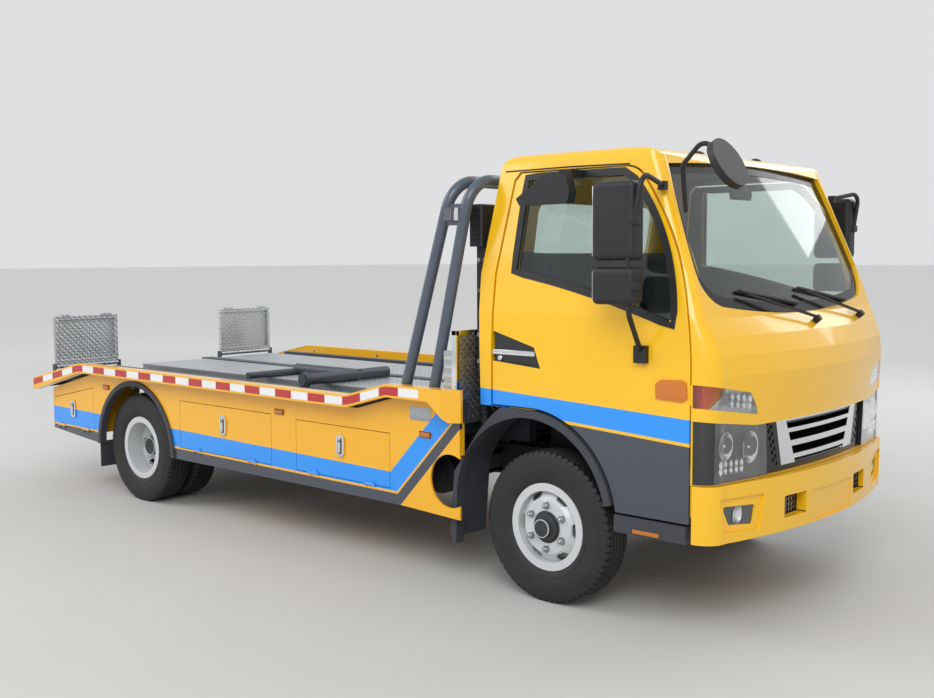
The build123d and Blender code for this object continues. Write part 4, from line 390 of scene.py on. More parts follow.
colours = {
    "cabYellow": "#F6BE12",
    "bodyYellow": "#F3B316",
    "blue": "#1B93F5",
    "slate": "#3F4450",
    "hoop": "#4C5563",
    "deck": "#3E434C",
    "black": "#1A1B1D",
    "trim": "#5B5E62",
    "tapeRed": "#B5121B",
    "tapeWhite": "#E9EAEA",
}

# The side stripes, on lines measured from the front axle
stripeTop = (-0.332, 1.059, 0.839, 1.007)
stripeLow = (-0.332, 0.967, 0.820, 0.901)
pinLow = (-0.332, 0.953, 0.820, 0.886)
outerSkin = {-1: (0, -1, 0, -0.80), 1: (0, 1, 0, -0.80)}


def cabZones(*ends):
    zones = []
    for side in (-1, 1):
        limits = [outerSkin[side], *ends]
        zones.append((colours["blue"], [below(*stripeTop), above(*stripeLow), *limits]))
        zones.append((colours["cabYellow"], [below(*stripeLow), above(*pinLow), *limits]))
        zones.append((colours["slate"], [below(*pinLow), *limits]))
    return zones


# What faces the seats is trimmed in grey: a region a little inside the outer skin
roomOutline = [
    (-0.368, 0.600), (0.860, 0.600), (0.860, 1.500), (0.600, 2.125), (0.490, 2.214), (-0.270, 2.216),
    (-0.380, 1.455),
]
innerSide = [(0, -side, 0, 0.936) for side in (-1, 1)]
innerSide += [(0, -side, -0.135, 0.932 + 0.135 * 1.455) for side in (-1, 1)]
innerSide += [(-1, -0.15 * side, 0, frontAxleX + 0.860) for side in (-1, 1)]
innerSide += [(-1, -0.15 * side, -0.416, frontAxleX + 0.860 + 0.416 * 1.500) for side in (-1, 1)]
roomZone = (colours["trim"], innerSide + insideOf(roomOutline))
# Painted shade: the band across the nose behind the grille and lamps is painted black for the dark behind
# them; the dish behind each door handle and the bumper's air vents are black
noseShadeZone = (colours["black"], [(1, 0, 0, -frontAxleX - 0.86), (0, 0, 1, -0.722), (0, 0, -1, 0.962)])
recessOutline = [(-0.322, 1.208), (-0.010, 1.184), (-0.052, 1.288), (-0.336, 1.366)]
recessZones = [(colours["black"], insideOf(recessOutline, (0, -side, 0, 0.9625))) for side in (-1, 1)]
ventZones = [
    (colours["black"], [(0, side, 0, -0.2735), (0, -side, 0, 0.4545), (0, 0, 1, -0.5095), (0, 0, -1, 0.6105)])
    for side in (-1, 1)
]
doorZones = cabZones((-1, 0, 0, frontAxleX + 0.85)) + recessZones + [roomZone]
shellZones = cabZones((-1, 0, 0, frontAxleX - 0.2)) + [noseShadeZone, roomZone]
doorEnamel = enamelledSheet("stovedEnamelDoors", colours["cabYellow"], doorZones)
cabEnamel = enamelledSheet("stovedEnamelCab", colours["cabYellow"], shellZones)

# The body's bands run level along the sill and turn up at the front; each is what lies above two lines
bodyBands = [
    (colours[paint], [above(*level), above(*rising), (0, side, 0, -1.009)])
    for side in (-1, 1)
    for paint, level, rising in (
        ("slate", (-4.8, 0.300, -0.944, 0.300), (-0.944, 0.371, -0.575, 0.758)),
        ("bodyYellow", (-4.8, 0.456, -0.963, 0.434), (-0.963, 0.434, -0.534, 0.878)),
        ("blue", (-4.8, 0.470, -0.967, 0.447), (-0.967, 0.447, -0.534, 0.893)),
        ("bodyYellow", (-4.8, 0.600, -1.018, 0.551), (-1.018, 0.551, -0.614, 0.963)),
    )
]

blackPlastic = mouldedPlastic("mouldedAbs", colours["black"], roughness=0.48)
brightTrim = bareMetal("chromedPlastic", "#E4E6E8", roughness=0.1, dirt=0.02)
# Dark outside the two uprights and along the foot
grilleWings = [[(0, side, -0.252, 0.252 * 0.742 - 0.394)] for side in (-1, 1)] + [[(0, 0, -1, 0.744)]]
groundSteel = bareMetal("groundSteel", "#B5B8BB", roughness=0.22)
castIron = bareMetal("castIron", "#55585B", roughness=0.7, dirt=0.5)
tyreBlack = tyreRubber("vulcanisedRubber")

# The outer end of each corner lamp is amber
amberEnds = [
    ("#F58A10", [(0, side, 0.9, -0.905 - 0.9 * 1.100), (0, 0, 1, -1.012), (1, 0, 0, -2.4)])
    for side in (-1, 1)
]
clearLens = lensPlastic(
    "clearPolycarbonate", "#FBFCFD", roughness=0.0, clear=1.0, fluting=0.02, zones=amberEnds
)
# Turn signal at the outer end of each tail lamp, reversing lamp at the inner end
tailZones = [("#F58A10", [(0, side, 0, -0.835)]) for side in (-1, 1)]
tailZones += [("#F4F5F5", [(0, side, 0, -0.590), (0, -side, 0, 0.682)]) for side in (-1, 1)]
amberLens = lensPlastic("amberPolycarbonate", "#F08A12", clear=0.4)
seatCloth = wovenCloth("wovenSeatCloth", "#53565C")
film = {"roughness": 0.35, "coat": 0.6, "peel": 0.0004}
redTape = enamelledSheet("reflectiveRedFilm", colours["tapeRed"], **film)
whiteTape = enamelledSheet("reflectiveWhiteFilm", colours["tapeWhite"], **film)
ceramicFrit = mouldedPlastic("ceramicFrit", "#0C0D0E", roughness=0.18, grainMm=1.2, grainDepth=0.00002)
lampHousing = mouldedPlastic("blackHousing", "#2A2C2F", roughness=0.2)
silveredHousing = bareMetal("silveredHousing", "#D5D8DA", roughness=0.35, dirt=0.0)
pianoBlack = mouldedPlastic(
    "pianoBlackPlastic", "#0B0C0D", roughness=0.12, grainMm=2.0, grainDepth=0.00001, coat=0.8
)
mirrorPlate = bareMetal("silveredPlate", "#EDEFF0", roughness=0.06, dirt=0.0)
wiperRubber = mouldedPlastic("wiperRubber", "#17181A", roughness=0.6)

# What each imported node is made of
dress(cabEnamel, "cab_shell")
dress(doorEnamel, "door_right", "door_left")
dress(enamelledSheet("stovedEnamelBumper", colours["cabYellow"], ventZones), "front_bumper")
dress(enamelledSheet("stovedEnamelBody", colours["bodyYellow"], bodyBands), "side_body", "locker_door")
dress(enamelledSheet("stovedEnamelRails", colours["bodyYellow"]), "deck_rails")
deckPaint = enamelledSheet("deckPaint", colours["deck"], roughness=0.5, coat=0.1)
dress(deckPaint, "deck_frame", "tilt_frame", "stowed_wheel_lift")
dress(enamelledSheet("hoopPaint", colours["hoop"], roughness=0.35, coat=0.3), "cab_guard")
chassisPaint = enamelledSheet("chassisPaint", "#1F2123", roughness=0.55, coat=0.05)
dress(chassisPaint, "chassis_frame", "leaf_springs", "rear_bumper")
axlePaint = enamelledSheet("axlePaint", "#232426", roughness=0.65, coat=0.0, peel=0.0015)
dress(axlePaint, "front_axle", "rear_axle", "knuckle")
dress(enamelledSheet("tankPaint", "#33373D", roughness=0.45, coat=0.1), "fuel_and_air_tanks")
dress(enamelledSheet("winchPaint", "#3B3F45", roughness=0.45, coat=0.1), "winch")
dress(enamelledSheet("wheelSilver", "#C9CCCE", roughness=0.32, coat=0.4), "rim")
dress(blackPlastic, "wipers", "front_mirror", "air_cleaner", "mirror")
dress(mouldedPlastic("mouldedPolypropylene", "#3A3D44", roughness=0.6), "front_mudguards", "rear_mudguards")
dashPlastic = mouldedPlastic("grainedDashboard", "#3A3C40", roughness=0.7, grainMm=3.0)
dress(dashPlastic, "dashboard", "steering_wheel")
dress(platedPlastic("platedGrille", "#E4E6E8", "#0E0F10", grilleWings), "grille")
dress(groundSteel, "tilt_barrels", "tilt_rods")
dress(bareMetal("aluminisedSteel", "#8D8C88", roughness=0.5, dirt=0.5), "exhaust")
dress(castIron, "engine")
dress(chequerPlate("fiveBarAluminium", "#B9BDC0", chequerSettings), "tread_plates")
standingPlate = chequerPlate("fiveBarAluminiumUpright", "#B9BDC0", chequerSettings, upright=True)
dress(standingPlate, "ramp", "headboard")
dress(tyreBlack, "tyre")
dress(floatGlass("laminatedGlass"), "door_glass", "cab_glass")
dress(clearLens, "front_lamps", "work_lamps")
dress(lensPlastic("redPolycarbonate", "#B0101A", clear=0.4, zones=tailZones), "tail_lamps")
dress(seatCloth, "seats")
print("materials made,", len(bpy.data.materials))


# Mesh helpers
def makePiece(name, body, materials, shape, sharpDegrees=35):
    # Turns a bmesh into an object that rides on a body.
    bmesh.ops.recalc_face_normals(shape, faces=shape.faces)
    mesh = bpy.data.meshes.new(name)
    shape.to_mesh(mesh)
    shape.free()
    for material in materials:
        mesh.materials.append(material)
    for polygon in mesh.polygons:
        polygon.use_smooth = True
    mesh.set_sharp_from_angle(angle=math.radians(sharpDegrees))
    piece = bpy.data.objects.new(name, mesh)
    scene.collection.objects.link(piece)
    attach(piece, body)
    return piece


def joinRows(shape, rows, wrap=False):
    # Faces between neighbouring rows of corners, each a closed ring; wrap joins the last to the first.
    faces = []
    for n, low in enumerate(rows if wrap else rows[:-1]):
        high = rows[(n + 1) % len(rows)]
        for i, corner in enumerate(low):
            j = (i + 1) % len(low)
            faces.append(shape.faces.new((corner, low[j], high[j], high[i])))
    return faces


def addPrism(shape, outline, depth, bevel=0.0, slotIndex=0):
    # A plate between a closed outline of points and the same outline moved by depth.
    low = [shape.verts.new(point) for point in outline]
    high = [shape.verts.new(Vector(point) + Vector(depth)) for point in outline]
    faces = [shape.faces.new(low[::-1]), shape.faces.new(high)] + joinRows(shape, (low, high))
    for face in faces:
        face.material_index = slotIndex
    if bevel:
        edges = list({edge for face in faces for edge in face.edges})
        bmesh.ops.bevel(shape, geom=edges, offset=bevel, segments=2, affect="EDGES", profile=0.6)


def addBlock(shape, side, low, high, bevel=0.002, slotIndex=0):
    # A block between two corners on one side of the truck, x measured from the front axle.
    (x0, y0, z0), (x1, y1, z1) = low, high
    outline = [(frontAxleX + x, side * y, z0) for x, y in ((x0, y0), (x1, y0), (x1, y1), (x0, y1))]
    addPrism(shape, outline, (0, 0, z1 - z0), bevel, slotIndex)


def addLathe(shape, profile, centre, axis, segments):
    # Turns a profile of (distance along the axis, radius) about it.
    along = Vector(axis).normalized()
    across = along.orthogonal().normalized()
    upward = along.cross(across)
    rings = []
    for distance, radius in profile:
        middle = Vector(centre) + along * distance
        turns = [2 * math.pi * i / segments for i in range(segments if radius else 1)]
        spokes = [across * math.cos(turn) + upward * math.sin(turn) for turn in turns]
        rings.append([shape.verts.new(middle + spoke * radius) for spoke in spokes])
    for low, high in zip(rings, rings[1:]):
        for i in range(segments):
            j = (i + 1) % segments
            a, b, c, d = low[i % len(low)], low[j % len(low)], high[j % len(high)], high[i % len(high)]
            corners = list(dict.fromkeys((a, b, c, d)))  # at a pole two of them are one
            if len(corners) > 2:
                shape.faces.new(corners)


def makeTube(name, body, material, points, radius):
    curve = bpy.data.curves.new(name, "CURVE")
    curve.dimensions = "3D"
    curve.bevel_depth = radius
    curve.bevel_resolution = 4
    spline = curve.splines.new("POLY")
    spline.points.add(len(points) - 1)
    for knot, place in zip(spline.points, points):
        knot.co = (*place, 1)
    curve.materials.append(material)
    piece = bpy.data.objects.new(name, curve)
    scene.collection.objects.link(piece)
    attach(piece, body)


def surfaceOf(*names):
    # Something to cast rays on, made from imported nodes.
    shape = bmesh.new()
    for name in names:
        shape.from_mesh(nodes[name].data)
    tree = BVHTree.FromBMesh(shape)
    shape.free()
    return tree


def hitFromFront(surface, y, z):
    # Where a ray from ahead of the truck meets a surface; beside the glass, the windscreen's plane.
    hit = surface.ray_cast(Vector((3.4, y, z)), Vector((-1, 0, 0)))[0]
    return hit or Vector((frontAxleX + 0.905 - 0.4056 * (z - 1.455), y, z))


def arcThrough(start, middle, end, steps):
    # Points on the circle through three flat points.
    (ax, ay), (bx, by), (cx, cy) = start, middle, end
    area = 2 * (ax * (by - cy) + bx * (cy - ay) + cx * (ay - by))
    a2, b2, c2 = ax * ax + ay * ay, bx * bx + by * by, cx * cx + cy * cy
    ox = (a2 * (by - cy) + b2 * (cy - ay) + c2 * (ay - by)) / area
    oy = (a2 * (cx - bx) + b2 * (ax - cx) + c2 * (bx - ax)) / area
    radius = math.hypot(ax - ox, ay - oy)
    first, last = math.atan2(ay - oy, ax - ox), math.atan2(cy - oy, cx - ox)
    turn = (last - first + math.pi) % (2 * math.pi) - math.pi
    angles = [first + turn * i / steps for i in range(steps + 1)]
    return [(ox + radius * math.cos(angle), oy + radius * math.sin(angle)) for angle in angles]


def grownOutline(points, amount):
    # A closed flat outline moved outward by an amount, seen counter-clockwise.
    grown = []
    for i, (x, y) in enumerate(points):
        x0, y0 = points[i - 1]
        x1, y1 = points[(i + 1) % len(points)]
        tx, ty = x1 - x0, y1 - y0
        size = math.hypot(tx, ty) or 1
        grown.append((x + ty / size * amount, y - tx / size * amount))
    return grown


def heightOn(line, x):
    # The second value at x on a line of (x, value) points.
    for low, high in zip(line, line[1:]):
        if x <= high[0]:
            break
    return low[1] + (high[1] - low[1]) * (x - low[0]) / (high[0] - low[0])


# Tyres
tyreSettings = {
    "radius": 0.384,
    "pitches": 64,  # tread blocks round the tyre
    "grooves": (-0.043, -0.0145, 0.0145, 0.043),
    "grooveHalf": 0.0038,
    "grooveFlank": 0.0008,
    "grooveDepth": 0.010,
    "zigzag": 0.0026,
    "slotDepth": 0.009,
    "slotFade": (0.352, 0.032),  # the slots run out down the shoulder, over this much from this radius
    "treadEdge": ((0.0525, 0), (0.0545, 1)),  # distance from the middle, and whether the slots reach it
    "pitchSteps": ((0.0, 0), (0.70, 0), (0.74, 1), (0.96, 1)),  # share of a pitch, block or slot
    # From the tread's edge down to the bead: distance from the middle and radius
    "sidewall": (
        (0.0700, 0.3838), (0.0775, 0.3815), (0.0832, 0.3755), (0.0866, 0.3660), (0.0893, 0.3540),
        (0.0905, 0.3530), (0.0925, 0.3400), (0.0930, 0.3340), (0.0950, 0.3325), (0.0956, 0.3180),
        (0.0958, 0.3030), (0.0950, 0.2880), (0.0925, 0.2720), (0.0890, 0.2585), (0.0885, 0.2565),
        (0.0900, 0.2550), (0.0875, 0.2440), (0.0820, 0.2340), (0.0770, 0.2275), (0.0720, 0.2228),
    ),
    "bore": ((0.0675, 0.2224), (0.0600, 0.2066)),
}


def addTyre(shape, centreX, centreY, settings):
    radius, depth, half = settings["radius"], settings["grooveDepth"], settings["grooveHalf"]
    foot, (fadeFrom, fadeOver) = half - settings["grooveFlank"], settings["slotFade"]
    # The section from the left bead over the tread to the right one: y, radius, zigzag and slot share
    wall = [(y, r, 0, max(0, (r - fadeFrom) / fadeOver)) for y, r in settings["sidewall"]]
    tread = []
    for groove in settings["grooves"]:
        for offset, drop in ((-half, 0), (-foot, depth), (foot, depth), (half, 0)):
            tread.append((groove + offset, radius - drop, 1, 0))
    edges = [(y, radius, 0, slotted) for y, slotted in settings["treadEdge"]]
    left = [(y, r, 0, 0) for y, r in settings["bore"][::-1]] + wall[::-1] + edges[::-1]
    section = [(-y, r, z, s) for y, r, z, s in left] + tread + left[::-1]
    rings = []
    for pitch in range(settings["pitches"]):
        lean = settings["zigzag"] if pitch % 2 else -settings["zigzag"]
        for share, slot in settings["pitchSteps"]:
            turn = 2 * math.pi * (pitch + share) / settings["pitches"]
            ring = []
            for y, r, zigzag, cut in section:
                reach = r - slot * min(cut, 1) * settings["slotDepth"]
                ring.append(shape.verts.new((
                    centreX + reach * math.sin(turn),
                    centreY + y + zigzag * lean,
                    radius + reach * math.cos(turn),
                )))
            rings.append(ring)
    joinRows(shape, rings, wrap=True)


wheelRows = (
    # body, tyre node, axle x, middles of the tyres, where the nuts sit, the hub's section from the middle out
    ("wheel_front", "tyre_front", frontAxleX, (0.855,), 0.929, (
        (0.9226, 0.093), (0.9236, 0.0905), (0.926, 0.078), (0.930, 0.0712), (0.9445, 0.0708), (0.9465, 0.066),
        (0.948, 0.050), (0.950, 0.0478), (0.968, 0.0472), (0.9755, 0.042), (0.9765, 0.020), (0.9765, 0),
    )),
    ("wheels_rear", "tyres_rear", rearAxleX, (0.891, 0.666), 0.797, (
        (0.8004, 0.0935), (0.8030, 0.090), (0.812, 0.070), (0.818, 0.0635), (0.894, 0.0630), (0.9005, 0.058),
        (0.9015, 0.030), (0.9005, 0.028), (0.9015, 0),
    )),
)
nutSettings = {
    "pitchRadius": 0.111,
    "count": 6,
    "sunk": 0.0005,
    # segments, then distance along the axis and radius: cone washer, hexagon and the stud's end
    "sections": (
        (24, ((0, 0.0215), (0.003, 0.0215), (0.005, 0.017))),
        (6, ((0, 0.0175), (0.017, 0.0175), (0.020, 0.0175 * 0.82), (0.020, 0))),
        (16, ((0.018, 0.009), (0.030, 0.009), (0.032, 0.007), (0.032, 0))),
    ),
}
for bodyStem, nodeStem, axleX, middles, nutY, hubSection in wheelRows:
    for sideName, side in sides:
        body, axis = f"{bodyStem}_{sideName}", (0, side, 0)
        shape = bmesh.new()
        for middle in middles:
            addTyre(shape, axleX, side * middle, tyreSettings)
        tyre = makePiece(f"{nodeStem}Tread_{sideName}", body, [tyreBlack], shape, 28)
        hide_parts(f"{nodeStem}_{sideName}")
        shape = bmesh.new()
        for i in range(nutSettings["count"]):
            turn = 2 * math.pi * (i + 0.5) / nutSettings["count"]
            x = axleX + nutSettings["pitchRadius"] * math.cos(turn)
            z = tyreSettings["radius"] + nutSettings["pitchRadius"] * math.sin(turn)
            for segments, section in nutSettings["sections"]:
                addLathe(shape, section, (x, side * (nutY - nutSettings["sunk"]), z), axis, segments)
        makePiece(f"{bodyStem}Nuts_{sideName}", body, [groundSteel], shape)
        # Hub: a casting that ends in a grease cap, or in the drive flange's drum at the rear
        shape = bmesh.new()
        addLathe(shape, hubSection, (axleX, 0, tyreSettings["radius"]), axis, 48)
        makePiece(f"{bodyStem}Hub_{sideName}", body, [castIron], shape)
print("tyres, nuts and hubs made")

# Reflective tape on the deck rails
railTop = ((-2.9975, 0.816), (-2.2995, 0.967), (0.634, 0.967), (0.959, 1.052), (1.467, 1.052))
tapeSettings = {
    "block": 0.150,  # red and white by turns, each in three parts to follow the rail's bends
    "height": 0.046,
    "below": 0.058,
    "railY": 1.1251,
    "proud": 0.0009,
    "rearX": -2.985,
    "frontX": 1.355,
}
for sideName, side in sides:
    shape = bmesh.new()
    block, height = tapeSettings["block"], tapeSettings["height"]
    for i in range(int((tapeSettings["frontX"] - tapeSettings["rearX"]) / block)):
        for part in range(3):
            x0 = tapeSettings["rearX"] + (i + part / 3) * block
            x1 = x0 + block / 3
            z0, z1 = (heightOn(railTop, x) - tapeSettings["below"] for x in (x0, x1))
            corners = ((x0, z0), (x1, z1), (x1, z1 + height), (x0, z0 + height))
            outline = [(x, side * tapeSettings["railY"], z) for x, z in corners]
            addPrism(shape, outline, (0, side * tapeSettings["proud"], 0), 0, i % 2)
    makePiece(f"railTape_{sideName}", "deck", [redTape, whiteTape], shape)
print("tape laid along the rails")

# Door windows, windscreen border and door fittings
cabSideLine = (
    # height and how far out the cab's side stands there
    (0.430, 0.968), (0.735, 0.970), (1.200, 0.970), (1.290, 0.968), (1.375, 0.965), (1.455, 0.962),
    (1.650, 0.937), (2.300, 0.848),
)


def windowOutline():
    # The opening in a door: x from the front axle and z, counter-clockwise seen with x to the right.
    bottom = arcThrough((-0.200, 1.668), (0.330, 1.555), (0.735, 1.432), 16)
    front = arcThrough((0.735, 1.432), (0.645, 1.830), (0.470, 2.090), 14)
    top = [(0.410 - 0.574 * i / 8, 2.128) for i in range(9)]
    back = [(-0.164 - 0.036 * i / 6, 2.128 - 0.460 * i / 6) for i in range(1, 6)]
    return bottom + front[1:] + top + back


surroundSettings = {"outward": 0.026, "inward": 0.010, "thickness": 0.0035, "sunk": 0.012, "proud": 0.0004}
for sideName, side in sides:
    opening, thickness = windowOutline(), surroundSettings["thickness"]
    inner = grownOutline(opening, -surroundSettings["inward"])
    outer = grownOutline(opening, surroundSettings["outward"])
    lifts = (surroundSettings["proud"], thickness, thickness, -surroundSettings["sunk"])
    shape = bmesh.new()
    rows = []
    for ring, lift in zip((outer, outer, inner, inner), lifts):
        points = [(frontAxleX + x, side * (heightOn(cabSideLine, z) + lift), z) for x, z in ring]
        rows.append([shape.verts.new(point) for point in points])
    joinRows(shape, rows)
    makePiece(f"windowSurround_{sideName}", f"door_{sideName}", [blackPlastic], shape, 50)

glassSurface = surfaceOf("cab_glass")
rightHalf = (
    arcThrough((0.790, 2.166), (0.850, 1.890), (0.876, 1.672), 12)[1:]
    + arcThrough((0.876, 1.672), (0.838, 1.566), (0.715, 1.502), 6)[1:]
)
screenEdge = (
    arcThrough((-0.790, 2.166), (0.0, 2.194), (0.790, 2.166), 24)
    + rightHalf
    + arcThrough((0.715, 1.502), (0.0, 1.456), (-0.715, 1.502), 24)[1:]
    + [(-y, z) for y, z in rightHalf[-2::-1]]
)
borderSettings = {"inset": 0.003, "width": 0.048, "proud": 0.0012}
shape = bmesh.new()
lift = Vector((borderSettings["proud"], 0, borderSettings["proud"]))
rows = []
for amount in (borderSettings["inset"], borderSettings["width"]):
    edge = grownOutline(screenEdge, amount)
    rows.append([shape.verts.new(hitFromFront(glassSurface, y, z) + lift) for y, z in edge])
joinRows(shape, rows)
makePiece("windscreenBorder", "chassis", [ceramicFrit], shape, 60)

handleSettings = {
    "low": (-0.322, 0.9515, 1.2415),
    "high": (-0.048, 0.9685, 1.2665),
    "bevel": 0.004,
    "lock": (-0.285, 1.222),
    "barrel": ((0.9500, 0.014), (0.9560, 0.014), (0.9575, 0.012), (0.9575, 0.0)),
}
markerSettings = {
    "outline": (
        (0.660, 1.092), (0.800, 1.086), (0.824, 1.104), (0.818, 1.172), (0.796, 1.185), (0.686, 1.180),
        (0.658, 1.160),
    ),
    "skin": 0.9695,
    "thickness": 0.010,
    "stepLow": (0.540, 0.9695, 0.449),
    "stepHigh": (0.682, 0.977, 0.468),
}
for sideName, side in sides:
    # The chromed pull over its bar, and the lock barrel below it
    shape = bmesh.new()
    lockX, lockZ = handleSettings["lock"]
    addBlock(shape, side, handleSettings["low"], handleSettings["high"], handleSettings["bevel"])
    addLathe(shape, handleSettings["barrel"], (frontAxleX + lockX, 0, lockZ), (0, side, 0), 24)
    makePiece(f"doorHandle_{sideName}", f"door_{sideName}", [brightTrim], shape)
    # Amber markers at the door's front edge and on the step
    shape = bmesh.new()
    outline = [(frontAxleX + x, side * markerSettings["skin"], z) for x, z in markerSettings["outline"]]
    addPrism(shape, outline, (0, side * markerSettings["thickness"], 0), 0.003)
    makePiece(f"doorMarker_{sideName}", f"door_{sideName}", [amberLens], shape)
    shape = bmesh.new()
    addBlock(shape, side, markerSettings["stepLow"], markerSettings["stepHigh"])
    makePiece(f"stepMarker_{sideName}", "chassis", [amberLens], shape)
print("door and windscreen trim made")

# Side bodies: latches, markers and the blank plate
latchSettings = {
    "face": 1.036,
    "aboveMiddle": 0.040,
    # half width, half height, how far out it starts, thickness, bevel and material of each oval
    "ovals": ((0.033, 0.067, 0.0, 0.004, 0.0015, 0), (0.019, 0.050, 0.002, 0.0034, 0.0012, 1)),
    "lever": ((-0.010, 0.004, -0.040), (0.010, 0.0115, 0.024)),
    "barrel": ((0.003, 0.009), (0.0085, 0.009), (0.0095, 0.0075), (0.0095, 0)),
    "barrelZ": 0.038,
}
lockerSpans = {
    # rear x, front x, sill z and the lower of its top heights
    "rear": (-2.8485, -2.260, 0.452, 0.668),
    "middle": (-1.140, -0.150, 0.456, 0.780),
    "front": (0.085, 0.900, 0.456, 0.768),
}


def ovalPoints(x, y, z, halfWidth, halfHeight, steps=28):
    straight = halfHeight - halfWidth
    points = []
    for i in range(steps):
        turn = 2 * math.pi * i / steps
        lift = straight if math.sin(turn) >= 0 else -straight
        points.append((x + halfWidth * math.cos(turn), y, z + lift + halfWidth * math.sin(turn)))
    return points


for row, (rearX, frontX, sillZ, topZ) in lockerSpans.items():
    for sideName, side in sides:
        face, barrel = latchSettings["face"], latchSettings["barrel"]
        x, z = (rearX + frontX) / 2, (sillZ + topZ) / 2 + latchSettings["aboveMiddle"]
        shape = bmesh.new()
        for halfWidth, halfHeight, start, thickness, bevel, slotIndex in latchSettings["ovals"]:
            outline = ovalPoints(x, side * (face + start), z, halfWidth, halfHeight)
            addPrism(shape, outline, (0, side * thickness, 0), bevel, slotIndex)
        low, high = ((x - frontAxleX + dx, face + dy, z + dz) for dx, dy, dz in latchSettings["lever"])
        addBlock(shape, side, low, high, 0.003)
        section = [(face + distance, radius) for distance, radius in barrel]
        addLathe(shape, section, (x, 0, z + latchSettings["barrelZ"]), (0, side, 0), 20)
        body = f"locker_door_{row}_{sideName}"
        makePiece(f"latch_{row}_{sideName}", body, [brightTrim, blackPlastic], shape)

sideMarkerSettings = {
    "places": ((-3.994, 0.799), (-1.987, 0.799), (-0.745, 0.787)),
    # half length, half height, inner and outer face, bevel and material: base, then lens
    "parts": ((0.045, 0.018, 1.0300, 1.0345, 0.002, 1), (0.038, 0.013, 1.0335, 1.0420, 0.003, 0)),
}
for sideName, side in sides:
    shape = bmesh.new()
    for x, z in sideMarkerSettings["places"]:
        for halfX, halfZ, inner, outer, bevel, slotIndex in sideMarkerSettings["parts"]:
            low, high = (x - halfX, inner, z - halfZ), (x + halfX, outer, z + halfZ)
            addBlock(shape, side, low, high, bevel, slotIndex)
    makePiece(f"sideMarkers_{sideName}", "chassis", [amberLens, blackPlastic], shape)
# The body builder's plate on the right side, left bare
shape = bmesh.new()
addBlock(shape, -1, (-0.861, 1.0325, 0.859), (-0.704, 1.0300, 0.932), 0.001)
makePiece("bareSidePlate", "chassis", [groundSteel], shape)
print("body fittings made")

# Lamps: lens in front, housing behind, bowls between
lampSettings = {
    "lensNormal": 0.25,  # faces that look this far forward are lens
    "lensThickness": 0.002,
    # y, z and radius of each bowl; the upper ones stand in two rows that rise outward
    "headBowls": ((0.820, 0.882, 0.060), (0.652, 0.862, 0.070)),
    "ledRows": tuple((0.720 + 0.036 * i, 0.772 + 0.030 * j, 0.0135) for i in range(5) for j in range(2)),
    "cornerBowls": tuple(
        (0.690 + 0.040 * i, 1.056 + 0.034 * j + 0.006 * i, 0.0155) for i in range(4) for j in range(2)
    ),
    "fogBowls": ((0.748, 0.563, 0.040),),
    "deepest": 0.020,
    "rimWidth": 0.004,
    "bulb": ((0.012, 0.12), (0.015, 0.06), (0.015, 0)),  # metres from the bottom, share of the radius
}


def copyFaces(node, keep):
    # A bmesh with only the faces of a node that pass a test on centre and normal.
    shape = bmesh.new()
    shape.from_mesh(nodes[node].data)
    shape.normal_update()
    dropped = [face for face in shape.faces if not keep(face.calc_center_median(), face.normal)]
    bmesh.ops.delete(shape, geom=dropped, context="FACES")
    return shape


def isLampPanel(centre):
    return abs(centre.y) > 0.907 and 0.70 < centre.z < 1.012


def isLens(centre, normal):
    return normal.x > lampSettings["lensNormal"] or abs(normal.y) > 0.9 and abs(centre.y) > 0.93


lens = copyFaces("front_lamps", lambda centre, normal: isLens(centre, normal) and not isLampPanel(centre))
bmesh.ops.solidify(lens, geom=list(lens.faces), thickness=lampSettings["lensThickness"])
lampLens = makePiece("lampLenses", "chassis", [clearLens], lens, 40)
panel = copyFaces("front_lamps", lambda centre, normal: isLampPanel(centre))
makePiece("lampPanels", "chassis", [pianoBlack], panel, 40)
for name, material, isHigh in (
    ("headlampHousings", lampHousing, False),
    ("cornerLampHousings", silveredHousing, True),
):
    housing = copyFaces("front_lamps", lambda centre, normal: (
        not isLens(centre, normal) and not isLampPanel(centre) and (centre.z > 1.008) == isHigh
    ))
    makePiece(name, "chassis", [material], housing, 40)
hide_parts("front_lamps")
lampSurface = surfaceOf("front_lamps")
shape = bmesh.new()
for group in ("headBowls", "ledRows", "cornerBowls", "fogBowls"):
    for y, z, radius in lampSettings[group]:
        depth = min(lampSettings["deepest"], radius * 0.5)
        profile = [(0.0, radius + lampSettings["rimWidth"]), (0.0, radius)]
        profile += [(-depth * (1 - (1 - i / 8) ** 2), radius * (1 - i / 8)) for i in range(1, 8)]
        profile.append((-depth, radius * 0.12))
        profile += [(rise - depth, radius * share) for rise, share in lampSettings["bulb"]]
        for side in (-1, 1):
            hit = hitFromFront(lampSurface, side * y, z)
            rimX = hit.x - lampSettings["rimWidth"] - 0.10 * radius
            addLathe(shape, profile, (rimX, side * y, z), (1, 0, 0), 40)
makePiece("lampBowls", "chassis", [mirrorPlate], shape, 30)
print("lamps made")

